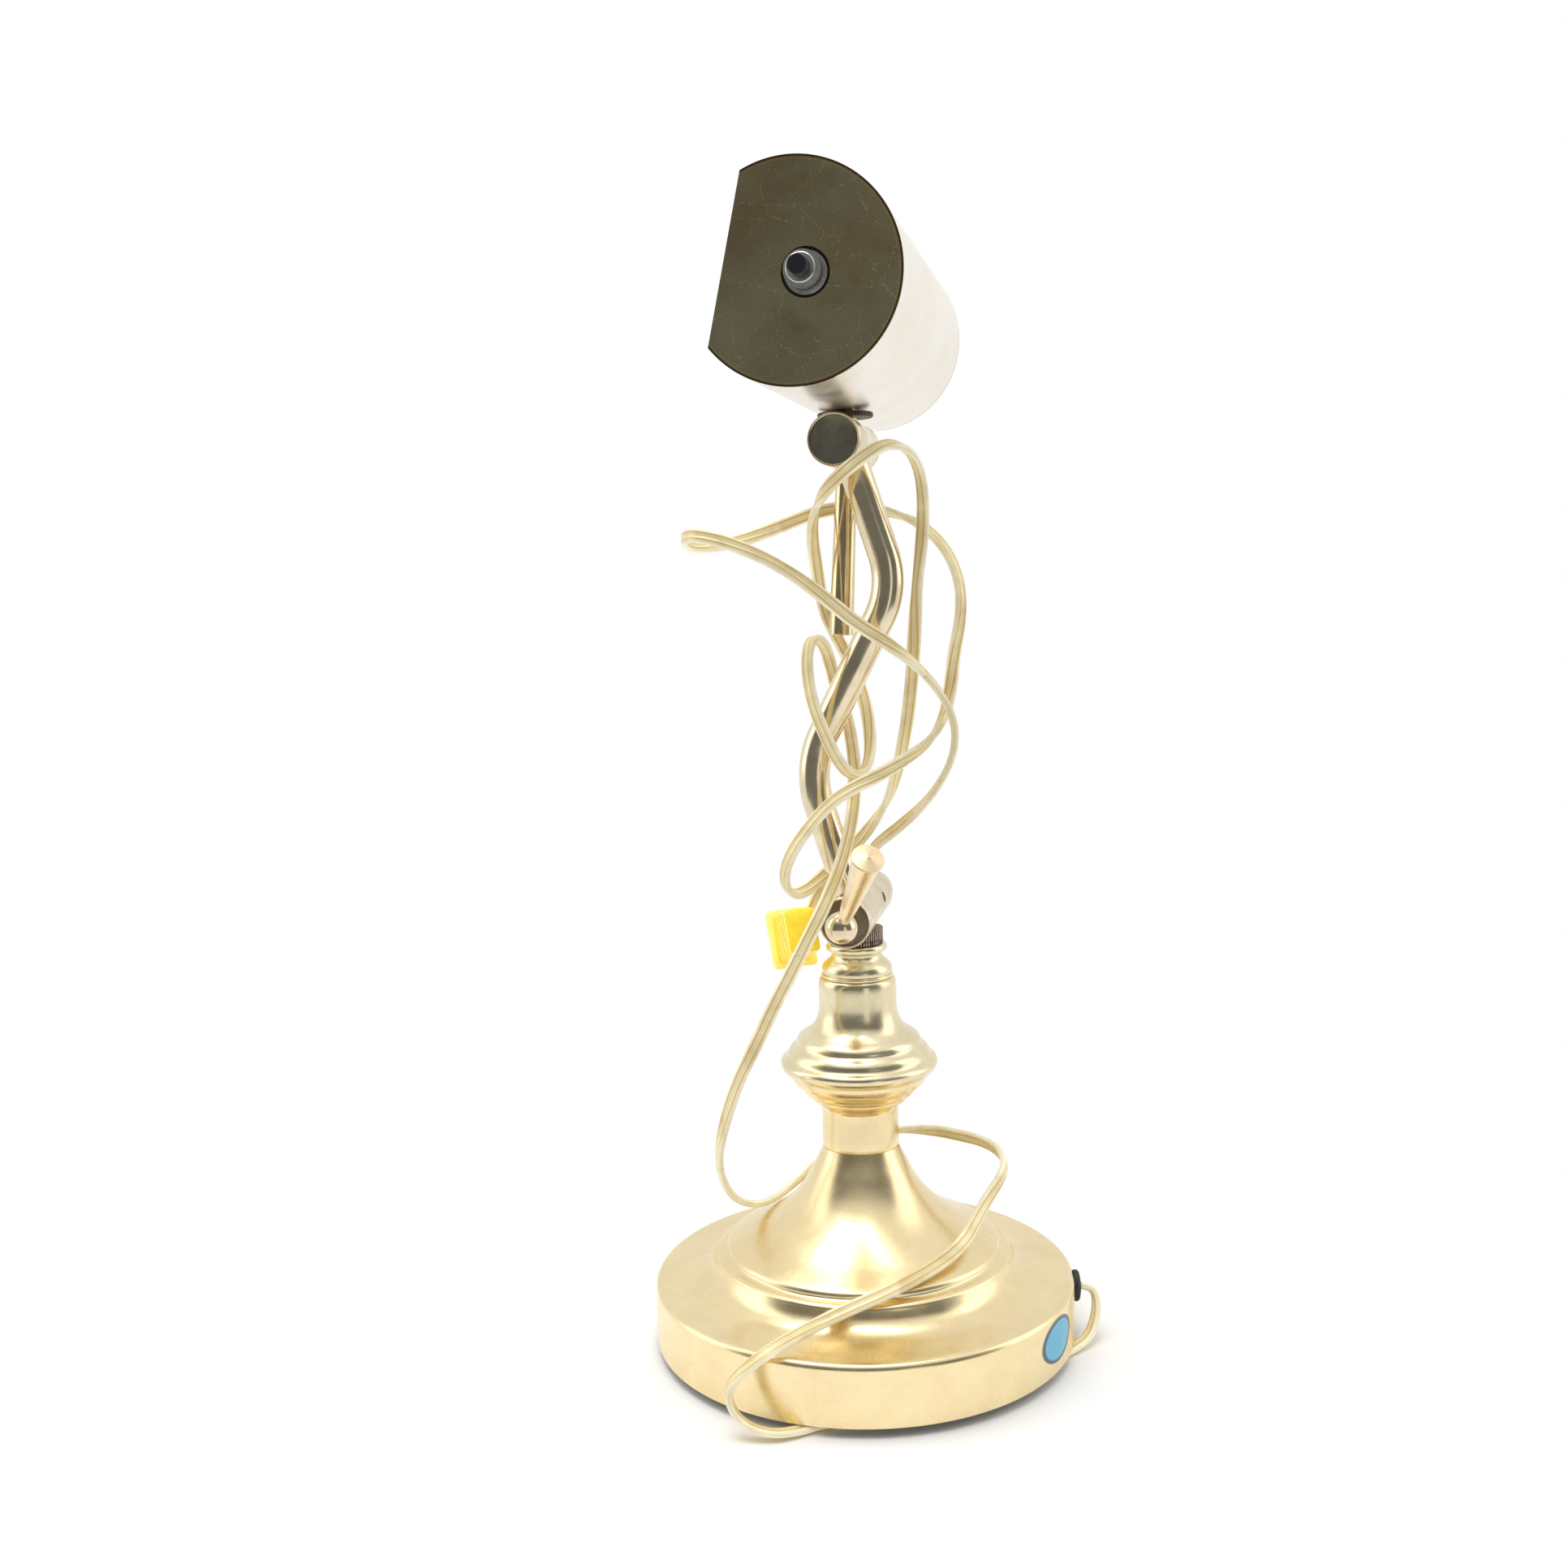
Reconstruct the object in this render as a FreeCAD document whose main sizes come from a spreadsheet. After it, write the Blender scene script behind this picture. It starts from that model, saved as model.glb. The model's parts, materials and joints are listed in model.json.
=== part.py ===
import FreeCAD, Part
import os, math
import Sketcher
from FreeCAD import Vector, Rotation, Placement

# Brass desk light with a half-round trough shade: weighted spun base, turned stem,
# two clamped knuckles joined by an S-bent arm, and a shade that holds one tubular lamp.
# Frame: +Z up, origin at the centre of the underside of the base pad, barrels and shade
# along Y, the arm in a plane parallel to XZ. Millimetres.

doc = FreeCAD.newDocument("desk_light")
sheet = doc.addObject("Spreadsheet::Sheet", "Dims")
cells = {}


def dim(name, value):
    """One driving dimension: a cell with an alias."""
    if name not in cells:
        k = len(cells) + 1
        sheet.set("A%d" % k, "%s (mm)" % name)
        sheet.set("B%d" % k, "%.5f" % value)
        sheet.setAlias("B%d" % k, name)
        cells[name] = float("%.5f" % value)
    return cells[name]


nodes = {}


def keep(label, obj):
    obj.Label = label
    nodes[label] = obj
    return obj


def origin_plane(body, role):
    for f in body.Origin.OriginFeatures:
        if f.Role == role:
            return f
    raise RuntimeError(role)


ALONG_Y = Rotation(Vector(1, 0, 0), -90)


def lathe(label, prof, at=(0, 0, 0), rot=None, bind=None):
    """A turned piece: a closed profile of (radius, height) points revolved about local Z."""
    body = doc.addObject("PartDesign::Body", label + "_body")
    sk = body.newObject("Sketcher::SketchObject", label + "_profile")
    sk.AttachmentSupport = [(origin_plane(body, "XZ_Plane"), "")]
    sk.MapMode = "FlatFace"
    n = len(prof)
    geo = []
    for i in range(n):
        a, b = prof[i], prof[(i + 1) % n]
        geo.append(Part.LineSegment(Vector(a[0], a[1], 0), Vector(b[0], b[1], 0)))
    sk.addGeometry(geo, False)
    cons, named = [], []
    for i in range(n):
        cons.append(Sketcher.Constraint("Coincident", i, 2, (i + 1) % n, 1))
    for i, (r, z) in enumerate(prof):
        if abs(r) < 1e-9:
            cons.append(Sketcher.Constraint("PointOnObject", i, 1, -2))
        else:
            named.append((len(cons), "%s_rad%d" % (label, i), r))
            cons.append(Sketcher.Constraint("DistanceX", -1, 1, i, 1, r))
        if abs(z) < 1e-9:
            cons.append(Sketcher.Constraint("PointOnObject", i, 1, -1))
        else:
            named.append((len(cons), "%s_hgt%d" % (label, i), z))
            cons.append(Sketcher.Constraint("DistanceY", -1, 1, i, 1, z))
    sk.addConstraint(cons)
    for k, alias, value in named:
        dim(alias, value)
        sk.setExpression("Constraints[%d]" % k, "Dims.%s" % alias)
    rev = body.newObject("PartDesign::Revolution", label + "_revolution")
    rev.Profile = sk
    rev.ReferenceAxis = (sk, ["V_Axis"])
    rev.Angle = 360.0
    body.Placement = Placement(Vector(*at), rot or Rotation())
    for prop, expr in (bind or {}).items():
        body.setExpression(prop, expr)
    return body


def toward(direction):
    return Rotation(Vector(0, 0, 1), Vector(*direction))


def rod(name, radius, length, at, direction=(0, 0, 1)):
    """A plain cylinder whose radius and length are cells."""
    c = doc.addObject("Part::Cylinder", name)
    dim(name + "_radius", radius)
    dim(name + "_length", length)
    c.setExpression("Radius", "Dims.%s_radius" % name)
    c.setExpression("Height", "Dims.%s_length" % name)
    c.Placement = Placement(Vector(*at), toward(direction))
    return c


def cone(name, ra, rb, length, at, direction=(0, 0, 1)):
    c = doc.addObject("Part::Cone", name)
    dim(name + "_first", ra)
    dim(name + "_second", rb)
    dim(name + "_length", length)
    c.setExpression("Radius1", "Dims.%s_first" % name)
    c.setExpression("Radius2", "Dims.%s_second" % name)
    c.setExpression("Height", "Dims.%s_length" % name)
    c.Placement = Placement(Vector(*at), toward(direction))
    return c


def box(name, size, at, rot=None):
    b = doc.addObject("Part::Box", name)
    for prop, part, v in (("Length", "wide", size[0]), ("Width", "deep", size[1]), ("Height", "tall", size[2])):
        dim("%s_%s" % (name, part), v)
        b.setExpression(prop, "Dims.%s_%s" % (name, part))
    b.Placement = Placement(Vector(*at), rot or Rotation())
    return b


def cut(name, base, tool):
    o = doc.addObject("Part::Cut", name)
    o.Base, o.Tool = base, tool
    return o


def common(name, base, tool):
    o = doc.addObject("Part::Common", name)
    o.Base, o.Tool = base, tool
    return o


def fuse(name, shapes):
    o = doc.addObject("Part::MultiFuse", name)
    o.Shapes = shapes
    o.Refine = True
    return o


def rounded_path(pts, radii=None):
    """Straight runs joined by tangent arcs. Each arc is as large as its two runs allow,
    unless a radius is given for that corner. Returns the wire, its length, the radii."""
    P = [Vector(*p) for p in pts]
    used = []
    arcs = []
    for i in range(1, len(P) - 1):
        u = (P[i] - P[i - 1])
        v = (P[i + 1] - P[i])
        lu, lv = u.Length, v.Length
        u = u * (1 / lu)
        v = v * (1 / lv)
        turn = math.acos(max(-1, min(1, u.dot(v))))
        R = radii[i - 1] if radii else 0.45 * min(lu, lv) / math.tan(turn / 2)
        t = R * math.tan(turn / 2)
        a = P[i] - u * t
        b = P[i] + v * t
        bis = (v - u)
        bis.normalize()
        centre = P[i] + bis * (R / math.cos(turn / 2))
        mid = centre - bis * R
        arcs.append((a, mid, b))
        used.append((R, math.degrees(turn)))
    edges = []
    last = P[0]
    length = 0.0
    for a, m, b in arcs:
        edges.append(Part.LineSegment(last, a).toShape())
        edges.append(Part.Arc(a, m, b).toShape())
        last = b
    edges.append(Part.LineSegment(last, P[-1]).toShape())
    wire = Part.Wire(edges)
    return wire, wire.Length, used


def tube(label, pts, diameter_cell, radii=None):
    """A plain round cord along a route of straight runs and tangent arcs."""
    r = cells[diameter_cell] / 2
    wire, length, used = rounded_path(pts, radii)
    start = Vector(*pts[0])
    along = Vector(*pts[1]) - start
    ring = Part.Wire([Part.Circle(start, along, r).toShape()])
    solid = wire.makePipeShell([ring], True, False)
    if solid.ShapeType != "Solid":
        solid = Part.Solid(solid)
    if solid.Volume < 0:
        solid.reverse()
    want = math.pi * r * r * length
    print("%s: length %.1f, volume/section ratio %.4f, radii (mm @ turn deg) %s"
          % (label, length, solid.Volume / want, " ".join("%.1f@%.0f" % u for u in used)))
    if abs(solid.Volume / want - 1) > 0.01:
        raise RuntimeError("%s: the tube's volume is off" % label)
    o = doc.addObject("Part::Feature", label + "_tube")
    o.Shape = solid
    return o


# ------------------------------------------------------------------ overall dimensions
base_radius = dim("base_radius", 89.0)
base_gap = dim("base_gap", 4.0)           # brass edge above the table
pivot_low = dim("pivot_low", 185.4)       # lower knuckle axis
pivot_high = dim("pivot_high", 376.8)     # upper knuckle axis
arm_plane = dim("arm_plane", -12.4)       # the arm's plane, y
near_face = dim("near_face", -27.0)       # front face of both knuckles, y
split_front = dim("split_front", -6.0)    # back face of the front barrels, y
split_back = dim("split_back", -5.5)      # front face of the back barrels, y
barrel_radius = dim("barrel_radius", 10.4)
rear_radius = dim("rear_radius", 9.9)
bolt_radius = dim("bolt_radius", 3.0)
bolt_bore = dim("bolt_bore", 3.05)
shade_x = dim("shade_x", -1.7)
shade_z = dim("shade_z", 428.8)
shade_radius = dim("shade_radius", 39.1)
shade_half = dim("shade_half", 92.0)
shade_wall = dim("shade_wall", 0.8)
shade_chord = dim("shade_chord", 24.6)    # opening plane from the shade's axis
shade_lean = dim("shade_lean", 12.7)      # opening plane's lean, degrees
head_y = dim("head_y", 2.0)               # the shade's swivel axis, y
tail_y = dim("tail_y", 8.0)
cord_width = dim("cord_width", 3.4)
lead_width = dim("lead_width", 3.0)

# ------------------------------------------------------------------ base
keep("felt_pad", rod("felt_pad_disc", 54.0, base_gap, (0, 0, 0)))
keep("bottom_plate", lathe("bottom_plate", [(8, 4.0), (86.6, 4.0), (86.6, 5.2), (8, 5.2)]))

# spun shell: outer profile, then the inner profile back down
shell_out = [(89.0, 4.0), (89.0, 26.6), (88.75, 27.7), (88.0, 28.6), (86.9, 29.0), (82.0, 29.2), (76.5, 29.7),
             (72.0, 30.4), (68.6, 31.5), (65.9, 33.2), (64.0, 35.4), (62.9, 37.8), (62.3, 39.4), (61.0, 40.2),
             (59.3, 40.5), (58.2, 41.2), (57.9, 42.4), (57.3, 43.4), (56.0, 44.2), (52.0, 46.2), (46.5, 49.0),
             (41.0, 52.3), (36.0, 55.8), (31.6, 59.6), (28.0, 63.5), (24.9, 67.7), (22.3, 72.0), (20.2, 76.0),
             (18.4, 79.4), (17.1, 82.0), (16.3, 83.8), (15.9, 84.8)]
shell_in = [(5.3, 84.8), (5.3, 83.6), (15.0, 83.6), (16.0, 81.2), (17.3, 78.4), (19.1, 75.2), (21.2, 71.3),
            (23.9, 67.0), (27.0, 62.7), (30.7, 58.7), (35.2, 54.9), (40.3, 51.3), (45.9, 48.0), (51.5, 45.1),
            (56.3, 42.6), (56.8, 40.6), (58.6, 39.4), (60.8, 38.9), (61.7, 37.2), (62.9, 34.7), (65.0, 32.2),
            (68.0, 30.4), (71.8, 29.3), (76.3, 28.6), (82.0, 28.1), (86.6, 27.8), (87.5, 27.0), (87.8, 26.2),
            (87.8, 4.0)]
base_spin = lathe("base_shell", shell_out + shell_in)
GA = math.radians(dim("grommet_angle", 8.0))
grommet_z = dim("grommet_z", 21.6)
gdir = (math.cos(GA), math.sin(GA), 0)


def radial(r, z=grommet_z):
    return (gdir[0] * r, gdir[1] * r, z)


keep("base_shell", cut("base_shell_cut", base_spin, rod("grommet_opening", 5.05, 12, radial(82), gdir)))
keep("base_weight", lathe("base_weight", [(5.4, 14.6), (9.4, 14.6), (9.4, 9.4), (68.0, 9.4), (70.0, 11.4),
                                          (70.0, 19.0), (66.0, 23.0), (5.4, 23.0)]))
keep("lamp_pipe", lathe("lamp_pipe", [(3.4, 9.6), (5.0, 9.6), (5.0, 155.6), (3.4, 155.6)]))

nut = doc.addObject("Part::Prism", "pipe_nut_hex")
nut.Polygon = 6
dim("pipe_nut_circum", 8.6)
dim("pipe_nut_tall", 4.2)
nut.setExpression("Circumradius", "Dims.pipe_nut_circum")
nut.setExpression("Height", "Dims.pipe_nut_tall")
nut.Placement = Placement(Vector(0, 0, 10.2), Rotation())
keep("pipe_nut", cut("pipe_nut_cut", nut, rod("pipe_nut_bore", 5.02, 8, (0, 0, 8))))

keep("cord_grommet", lathe("cord_grommet", [(1.75, 0), (6.2, 0), (6.2, 1.4), (5.0, 1.6), (5.0, 4.6), (6.5, 4.6), (6.5, 6.2), (5.6, 7.0),
                                            (3.6, 7.4), (1.75, 7.4)],
                           at=radial(84.5), rot=toward(gdir)))

# blank oval sticker on the side wall
LA = math.radians(dim("label_angle", -19.8))
label_z = dim("label_z", 17.5)
label_a = dim("label_half_wide", 13.8)
label_b = dim("label_half_tall", 8.9)
ldir = Vector(math.cos(LA), math.sin(LA), 0)
ell = Part.Ellipse(Vector(0, 0, 0), label_a, label_b).toShape()
face = Part.Face(Part.Wire([ell]))
prism = face.extrude(Vector(0, 0, 12))
prism.Placement = Placement(ldir * 84 + Vector(0, 0, label_z),
                            Rotation(Vector(-ldir.y, ldir.x, 0), Vector(0, 0, 1), ldir, "ZXY"))
ring = Part.makeCylinder(base_radius + 0.22, 60).cut(Part.makeCylinder(base_radius, 60))
sticker = doc.addObject("Part::Feature", "blank_sticker_shape")
sticker.Shape = prism.common(ring)
keep("blank_sticker", sticker)

# ------------------------------------------------------------------ stem
keep("stem_collar", lathe("stem_collar", [
    (5.3, 84.8), (15.6, 84.8), (16.0, 85.4), (16.1, 100.6), (16.5, 102.2), (17.6, 103.6), (19.6, 105.0),
    (20.4, 105.9), (20.7, 106.9), (22.2, 107.7), (23.6, 108.9), (24.3, 110.2), (25.2, 111.0), (26.8, 112.2),
    (28.0, 113.9), (28.7, 115.8), (28.8, 117.0), (27.4, 117.0), (27.2, 115.6), (26.6, 114.4), (25.6, 113.3),
    (23.0, 111.6), (22.0, 109.7), (20.4, 108.8), (19.0, 107.2), (17.0, 105.8), (15.0, 103.4), (14.6, 101.0),
    (14.6, 86.4), (5.3, 86.4)]))
keep("stem_vase", lathe("stem_vase", [
    (25.0, 117.1), (30.2, 117.1), (31.6, 118.2), (32.7, 119.7), (33.0, 121.0), (32.8, 122.0), (32.0, 123.0),
    (30.9, 123.6), (30.1, 124.6), (29.6, 126.1), (28.6, 127.5), (27.2, 128.6), (26.3, 129.6), (26.0, 130.9),
    (25.2, 132.2), (23.9, 133.2), (21.9, 134.4), (20.0, 135.9), (18.6, 137.6), (17.5, 139.6), (16.8, 141.8),
    (16.4, 144.4), (16.25, 148.0), (16.25, 154.2), (16.0, 156.2), (15.4, 157.3), (14.6, 157.6), (5.3, 157.6),
    (5.3, 156.0), (14.2, 156.0), (14.7, 154.4), (14.75, 144.2), (15.3, 141.2), (16.2, 138.6), (17.6, 136.2),
    (19.6, 134.0), (22.0, 132.5), (24.2, 130.6), (25.2, 127.8), (27.6, 126.2), (28.6, 123.8), (29.6, 122.0),
    (29.8, 120.2), (28.4, 118.8), (25.0, 118.8)]))
keep("neck_ring", lathe("neck_ring", [
    (5.08, 157.6), (14.4, 157.6), (15.0, 158.1), (15.0, 158.9), (14.5, 159.3), (14.6, 160.1), (14.2, 161.1),
    (13.3, 162.4), (12.1, 163.9), (11.2, 165.4), (10.75, 166.8), (10.8, 167.8), (11.3, 168.5), (12.3, 169.0),
    (12.7, 169.5), (12.7, 170.9), (12.3, 171.6), (11.6, 171.8), (5.08, 171.8)]))

# knurled lock ring on the swivel post; the knurl is a ring of fine flutes
def knurled(label, z, tall, radius, bore, centre_y):
    blank = lathe(label + "_blank", [(bore, 0), (radius - 0.5, 0), (radius, 0.45), (radius, tall - 0.45),
                                     (radius - 0.5, tall), (bore, tall)])
    flutes = []
    count = 48
    for k in range(count):
        a = 2 * math.pi * k / count
        c = Part.makeCylinder(0.42, tall - 0.2, Vector((radius + 0.18) * math.cos(a), (radius + 0.18) * math.sin(a), 0.1))
        flutes.append(c)
    f = doc.addObject("Part::Feature", label + "_flutes")
    f.Shape = Part.makeCompound(flutes)
    o = cut(label + "_cut", blank, f)
    o.Placement = Placement(Vector(0, centre_y, z), Rotation())
    return keep(label, o)


knurled("lower_lock_ring", 171.85, 2.05, dim("lock_ring_radius", 11.25), 5.08, 0.0)

# ------------------------------------------------------------------ lower knuckle, back half (turns on the stem)
saddle = rod("saddle_blank", 11.15, 4.3, (0, 0, 173.95))
keep("saddle_washer", cut("saddle_washer_cut", saddle,
                          fuse("saddle_tools", [rod("saddle_bed", 10.45, 60, (0, -30, pivot_low), (0, 1, 0)),
                                                rod("saddle_bore", 5.0, 20, (0, 0, 166))])))
rear_low = lathe("rear_barrel_low", [(bolt_bore, 0), (9.3, 0), (9.9, 0.6), (9.9, 43.9), (9.3, 44.5), (bolt_bore, 44.5)],
                 at=(0, split_back, pivot_low), rot=ALONG_Y, bind={".Placement.Base.y": "Dims.split_back",
                                                                  ".Placement.Base.z": "Dims.pivot_low"})
post = rod("swivel_post", 5.0, 22.0, (0, 0, 156.2))
post_bore = rod("swivel_post_bore", 3.0, 30, (0, 0, 150.0))
screw_dir = Vector(0.968, 0, 0.25)
screw_dir.normalize()
screw_y = dim("grub_screw_y", 17.0)
pocket_at = Vector(0, screw_y, pivot_low) + screw_dir * 6.0
tap = rod("grub_screw_hole", 2.3, 8.0, tuple(pocket_at), tuple(screw_dir))
bolt_clear = rod("low_bolt_clear", bolt_bore, 80, (0, -20, pivot_low), (0, 1, 0))
keep("stem_knuckle", cut("stem_knuckle_cut", fuse("stem_knuckle_sum", [rear_low, post]),
                         fuse("stem_knuckle_tools", [post_bore, tap, bolt_clear])))
keep("grub_screw", rod("grub_screw_rod", 2.25, 2.2, tuple(Vector(0, screw_y, pivot_low) + screw_dir * 6.05), tuple(screw_dir)))
keep("rear_cap_lower", lathe("rear_cap_lower", [(bolt_bore, 0), (9.0, 0), (9.0, 6.4), (8.4, 7.2), (6.0, 8.0), (0, 8.4),
                                               (0, 4.2), (bolt_bore, 4.2)],
                             at=(0, split_back + 44.6, pivot_low), rot=ALONG_Y))

# ------------------------------------------------------------------ clamp screw: bolt, ball, lever
keep("clamp_bolt", rod("clamp_bolt_rod", bolt_radius, 72.0, (0, -29.5, pivot_low), (0, 1, 0)))
ball_y = dim("ball_y", -34.5)
ball = doc.addObject("Part::Sphere", "clamp_ball_sphere")
dim("ball_radius", 6.65)
ball.setExpression("Radius", "Dims.ball_radius")
ball.Placement = Placement(Vector(0, ball_y, pivot_low), Rotation())
lever_to = Vector(15.9, -29.6, 32.8)
lever_len = dim("lever_len", 46.9)
ld = Vector(lever_to)
ld.normalize()
bc = Vector(0, ball_y, pivot_low)
keep("clamp_ball", cut("clamp_ball_cut", ball, fuse("clamp_ball_tools", [
    rod("ball_seat", 2.75, 6, tuple(bc + ld * 4.6), tuple(ld)),
    rod("ball_back", 8, 6, (0, -29.5, pivot_low), (0, 1, 0))])))
keep("clamp_lever", lathe("clamp_lever", [(0, 0), (2.7, 0), (2.72, 2.2), (2.9, 4), (5.85, lever_len - 5.4), (6.0, lever_len - 4.9),
                                          (0, lever_len - 4.9)],
                          at=tuple(bc + ld * 4.6), rot=toward(tuple(ld))))
keep("lever_cap", lathe("lever_cap", [(0, 0), (6.3, 0), (6.35, 0.5), (6.0, 0.9), (1.7, 1.35), (0, 2.7)],
                        at=tuple(bc + ld * (lever_len - 0.3)), rot=toward(tuple(ld))))

# ------------------------------------------------------------------ arm and its two front barrels
lean_low = (-0.2985, 0, 0.9544)
lean_high = (0.306, 0, -0.952)
arm_foot = Vector(2.5, arm_plane, pivot_low) + Vector(*lean_low) * 6.6
arm_head = Vector(2.35, arm_plane, pivot_high) + Vector(*lean_high) * 6.6
arm_pts = [tuple(arm_foot), (-16.7, arm_plane, 246.6), (20.8, arm_plane, 319.5), tuple(arm_head)]
arm_bends = [dim("arm_bend_low", 40.0), dim("arm_bend_high", 34.0)]
path = doc.addObject("Part::Feature", "arm_path")
path.Shape = rounded_path(arm_pts, arm_bends)[0]


def swept(name, radius):
    c = doc.addObject("Part::Circle", name + "_section")
    dim(name + "_radius", radius)
    c.setExpression("Radius", "Dims.%s_radius" % name)
    d = Vector(*arm_pts[1]) - Vector(*arm_pts[0])
    d.normalize()
    c.Placement = Placement(arm_foot, toward(tuple(d)))
    s = doc.addObject("Part::Sweep", name + "_sweep")
    s.Sections = [c]
    s.Spine = (path, ["Edge%d" % (k + 1) for k in range(len(path.Shape.Edges))])
    s.Solid = True
    s.Frenet = False
    return s


keep("arm_tube", cut("arm_tube_cut", swept("arm_outside", 6.35), swept("arm_inside", 5.3)))

front_low = lathe("front_barrel_low", [(bolt_bore, 1.6), (9.5, 1.6), (9.5, 0.3), (9.8, 0), (10.2, 0), (10.4, 0.3), (10.4, 2.2),
                                       (10.15, 2.5), (10.15, 2.9), (10.4, 3.2), (10.4, 20.5), (9.9, 21.0), (bolt_bore, 21.0)],
                  at=(0, near_face, pivot_low), rot=ALONG_Y)
socket_low = rod("arm_socket_low", 6.4, 12, tuple(arm_foot - Vector(*lean_low) * 0.05), lean_low)
keep("arm_knuckle_lower", cut("arm_knuckle_lower_cut", front_low, socket_low))
front_high = lathe("front_barrel_high", [(bolt_bore, 4.4), (9.55, 4.4), (9.55, 0.2), (9.8, 0), (10.2, 0), (10.4, 0.3), (10.4, 2.2),
                                         (10.15, 2.5), (10.15, 2.9), (10.4, 3.2), (10.4, 20.5), (9.9, 21.0), (bolt_bore, 21.0)],
                   at=(0, near_face, pivot_high), rot=ALONG_Y)
socket_high = rod("arm_socket_high", 6.4, 12, tuple(arm_head - Vector(*lean_high) * 0.05), lean_high)
keep("arm_knuckle_upper", cut("arm_knuckle_upper_cut", front_high, socket_high))
keep("knuckle_face_cap", lathe("knuckle_face_cap", [(0, 0), (9.2, 0), (9.5, 0.3), (9.5, 1.6), (0, 1.6)],
                               at=(0, near_face + 0.1, pivot_high), rot=ALONG_Y))
keep("friction_washer_lower", lathe("friction_washer_lower", [(bolt_bore, 0.02), (9.2, 0.02), (9.2, 0.48), (bolt_bore, 0.48)],
                                    at=(0, split_front, pivot_low), rot=ALONG_Y))
keep("friction_washer_upper", lathe("friction_washer_upper", [(bolt_bore, 0.02), (9.2, 0.02), (9.2, 0.48), (bolt_bore, 0.48)],
                                    at=(0, split_front, pivot_high), rot=ALONG_Y))

# ------------------------------------------------------------------ upper knuckle, back half, with the aiming handle
rear_high = lathe("rear_barrel_high", [(bolt_bore, 0), (9.3, 0), (9.9, 0.6), (9.9, 31.4), (9.3, 32.0), (bolt_bore, 32.0)],
                  at=(0, split_back, pivot_high), rot=ALONG_Y)
tail_dir = Vector(-0.0565, 0, -1)
tail_dir.normalize()
tail_at = Vector(-0.41, tail_y, pivot_high)
tail_hole = rod("tail_hole", 3.0, 12, tuple(tail_at + tail_dir * 4.6), tuple(tail_dir))
head_post_hole = rod("head_post_hole", 5.0, 12, (0, head_y, pivot_high + 4.4))
keep("shade_knuckle", cut("shade_knuckle_cut", rear_high, fuse("shade_knuckle_tools", [tail_hole, head_post_hole])))
keep("rear_cap_upper", lathe("rear_cap_upper", [(0, 0), (10.0, 0), (10.0, 1.5), (9.5, 2.2), (0, 2.4)],
                             at=(0, split_back + 32.1, pivot_high), rot=ALONG_Y))
keep("pivot_bolt_upper", rod("pivot_bolt_rod", bolt_radius, 47.6, (0, -22.8, pivot_high), (0, 1, 0)))
hexh = doc.addObject("Part::Prism", "pivot_head_hex")
hexh.Polygon = 6
dim("pivot_head_circum", 5.6)
dim("pivot_head_tall", 2.2)
hexh.setExpression("Circumradius", "Dims.pivot_head_circum")
hexh.setExpression("Height", "Dims.pivot_head_tall")
hexh.Placement = Placement(Vector(0, -25.0, pivot_high), ALONG_Y)
keep("pivot_nut_upper", hexh)
keep("tail_handle", lathe("tail_handle", [(0, 0), (3.0, 0), (3.0, 5.3), (4.25, 5.3), (4.3, 8), (5.05, 72.0), (4.9, 72.4), (0, 72.4)],
                          at=tuple(tail_at + tail_dir * 4.6), rot=toward(tuple(tail_dir))))
keep("head_post", lathe("head_post", [(2.6, 0), (5.0, 0), (5.0, 14.4), (2.6, 14.4)], at=(0, head_y, pivot_high + 4.4)))
knurled("upper_lock_ring", 387.25, 2.2, 11.25, 5.08, head_y)

# ------------------------------------------------------------------ shade
lean = math.radians(shade_lean)
open_n = Vector(-math.cos(lean), 0, math.sin(lean))     # the opening looks along this
centre = Vector(shade_x, 0, shade_z)


def half_space(name, dist, radius=60, length=260):
    """A block that removes everything beyond the opening plane."""
    along = Vector(0, 1, 0)
    rot = Rotation(open_n, along, Vector(0, 0, 0), "XYZ")
    b = box(name, (60, length, 160), (0, 0, 0))
    base = centre + open_n * dist - rot.multVec(Vector(0, length / 2, 80))
    b.Placement = Placement(base, rot)
    return b


trough = lathe("trough_tube", [(shade_radius - shade_wall, 0), (shade_radius, 0), (shade_radius, 2 * shade_half - 2.0),
                               (shade_radius - shade_wall, 2 * shade_half - 2.0)],
               at=(shade_x, -shade_half + 1.0, shade_z), rot=ALONG_Y)
post_clear = rod("shade_post_hole", 5.08, 20, (0, head_y, shade_z - shade_radius - 8))
keep("shade_shell", cut("shade_shell_cut", trough, fuse("shade_tools", [half_space("shade_opening", shade_chord), post_clear])))


def end_cap(label, y, inner_sign, hole):
    plate = rod(label + "_plate", shade_radius, 1.0, (shade_x, y, shade_z), (0, 1, 0))
    lip_y = y + 1.0 if inner_sign > 0 else y - 4.0
    lip = lathe(label + "_lip", [(shade_radius - shade_wall - 0.75, 0), (shade_radius - shade_wall - 0.05, 0),
                                 (shade_radius - shade_wall - 0.05, 4.0), (shade_radius - shade_wall - 0.75, 4.0)],
                at=(shade_x, lip_y, shade_z), rot=ALONG_Y)
    whole = fuse(label + "_sum", [plate, lip])
    tools = [half_space(label + "_chord", shade_chord)]
    if hole:
        tools.append(rod(label + "_hole", 8.7, 12, (shade_x + 4.9, y - 5, shade_z - 0.5), (0, 1, 0)))
    tool = fuse(label + "_tools", tools) if len(tools) > 1 else tools[0]
    return keep(label, cut(label + "_cut", whole, tool))


end_cap("end_cap_near", -shade_half, 1, True)
end_cap("end_cap_far", shade_half - 1.0, -1, False)

sx, sz = shade_x + 4.9, shade_z - 0.5
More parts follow.
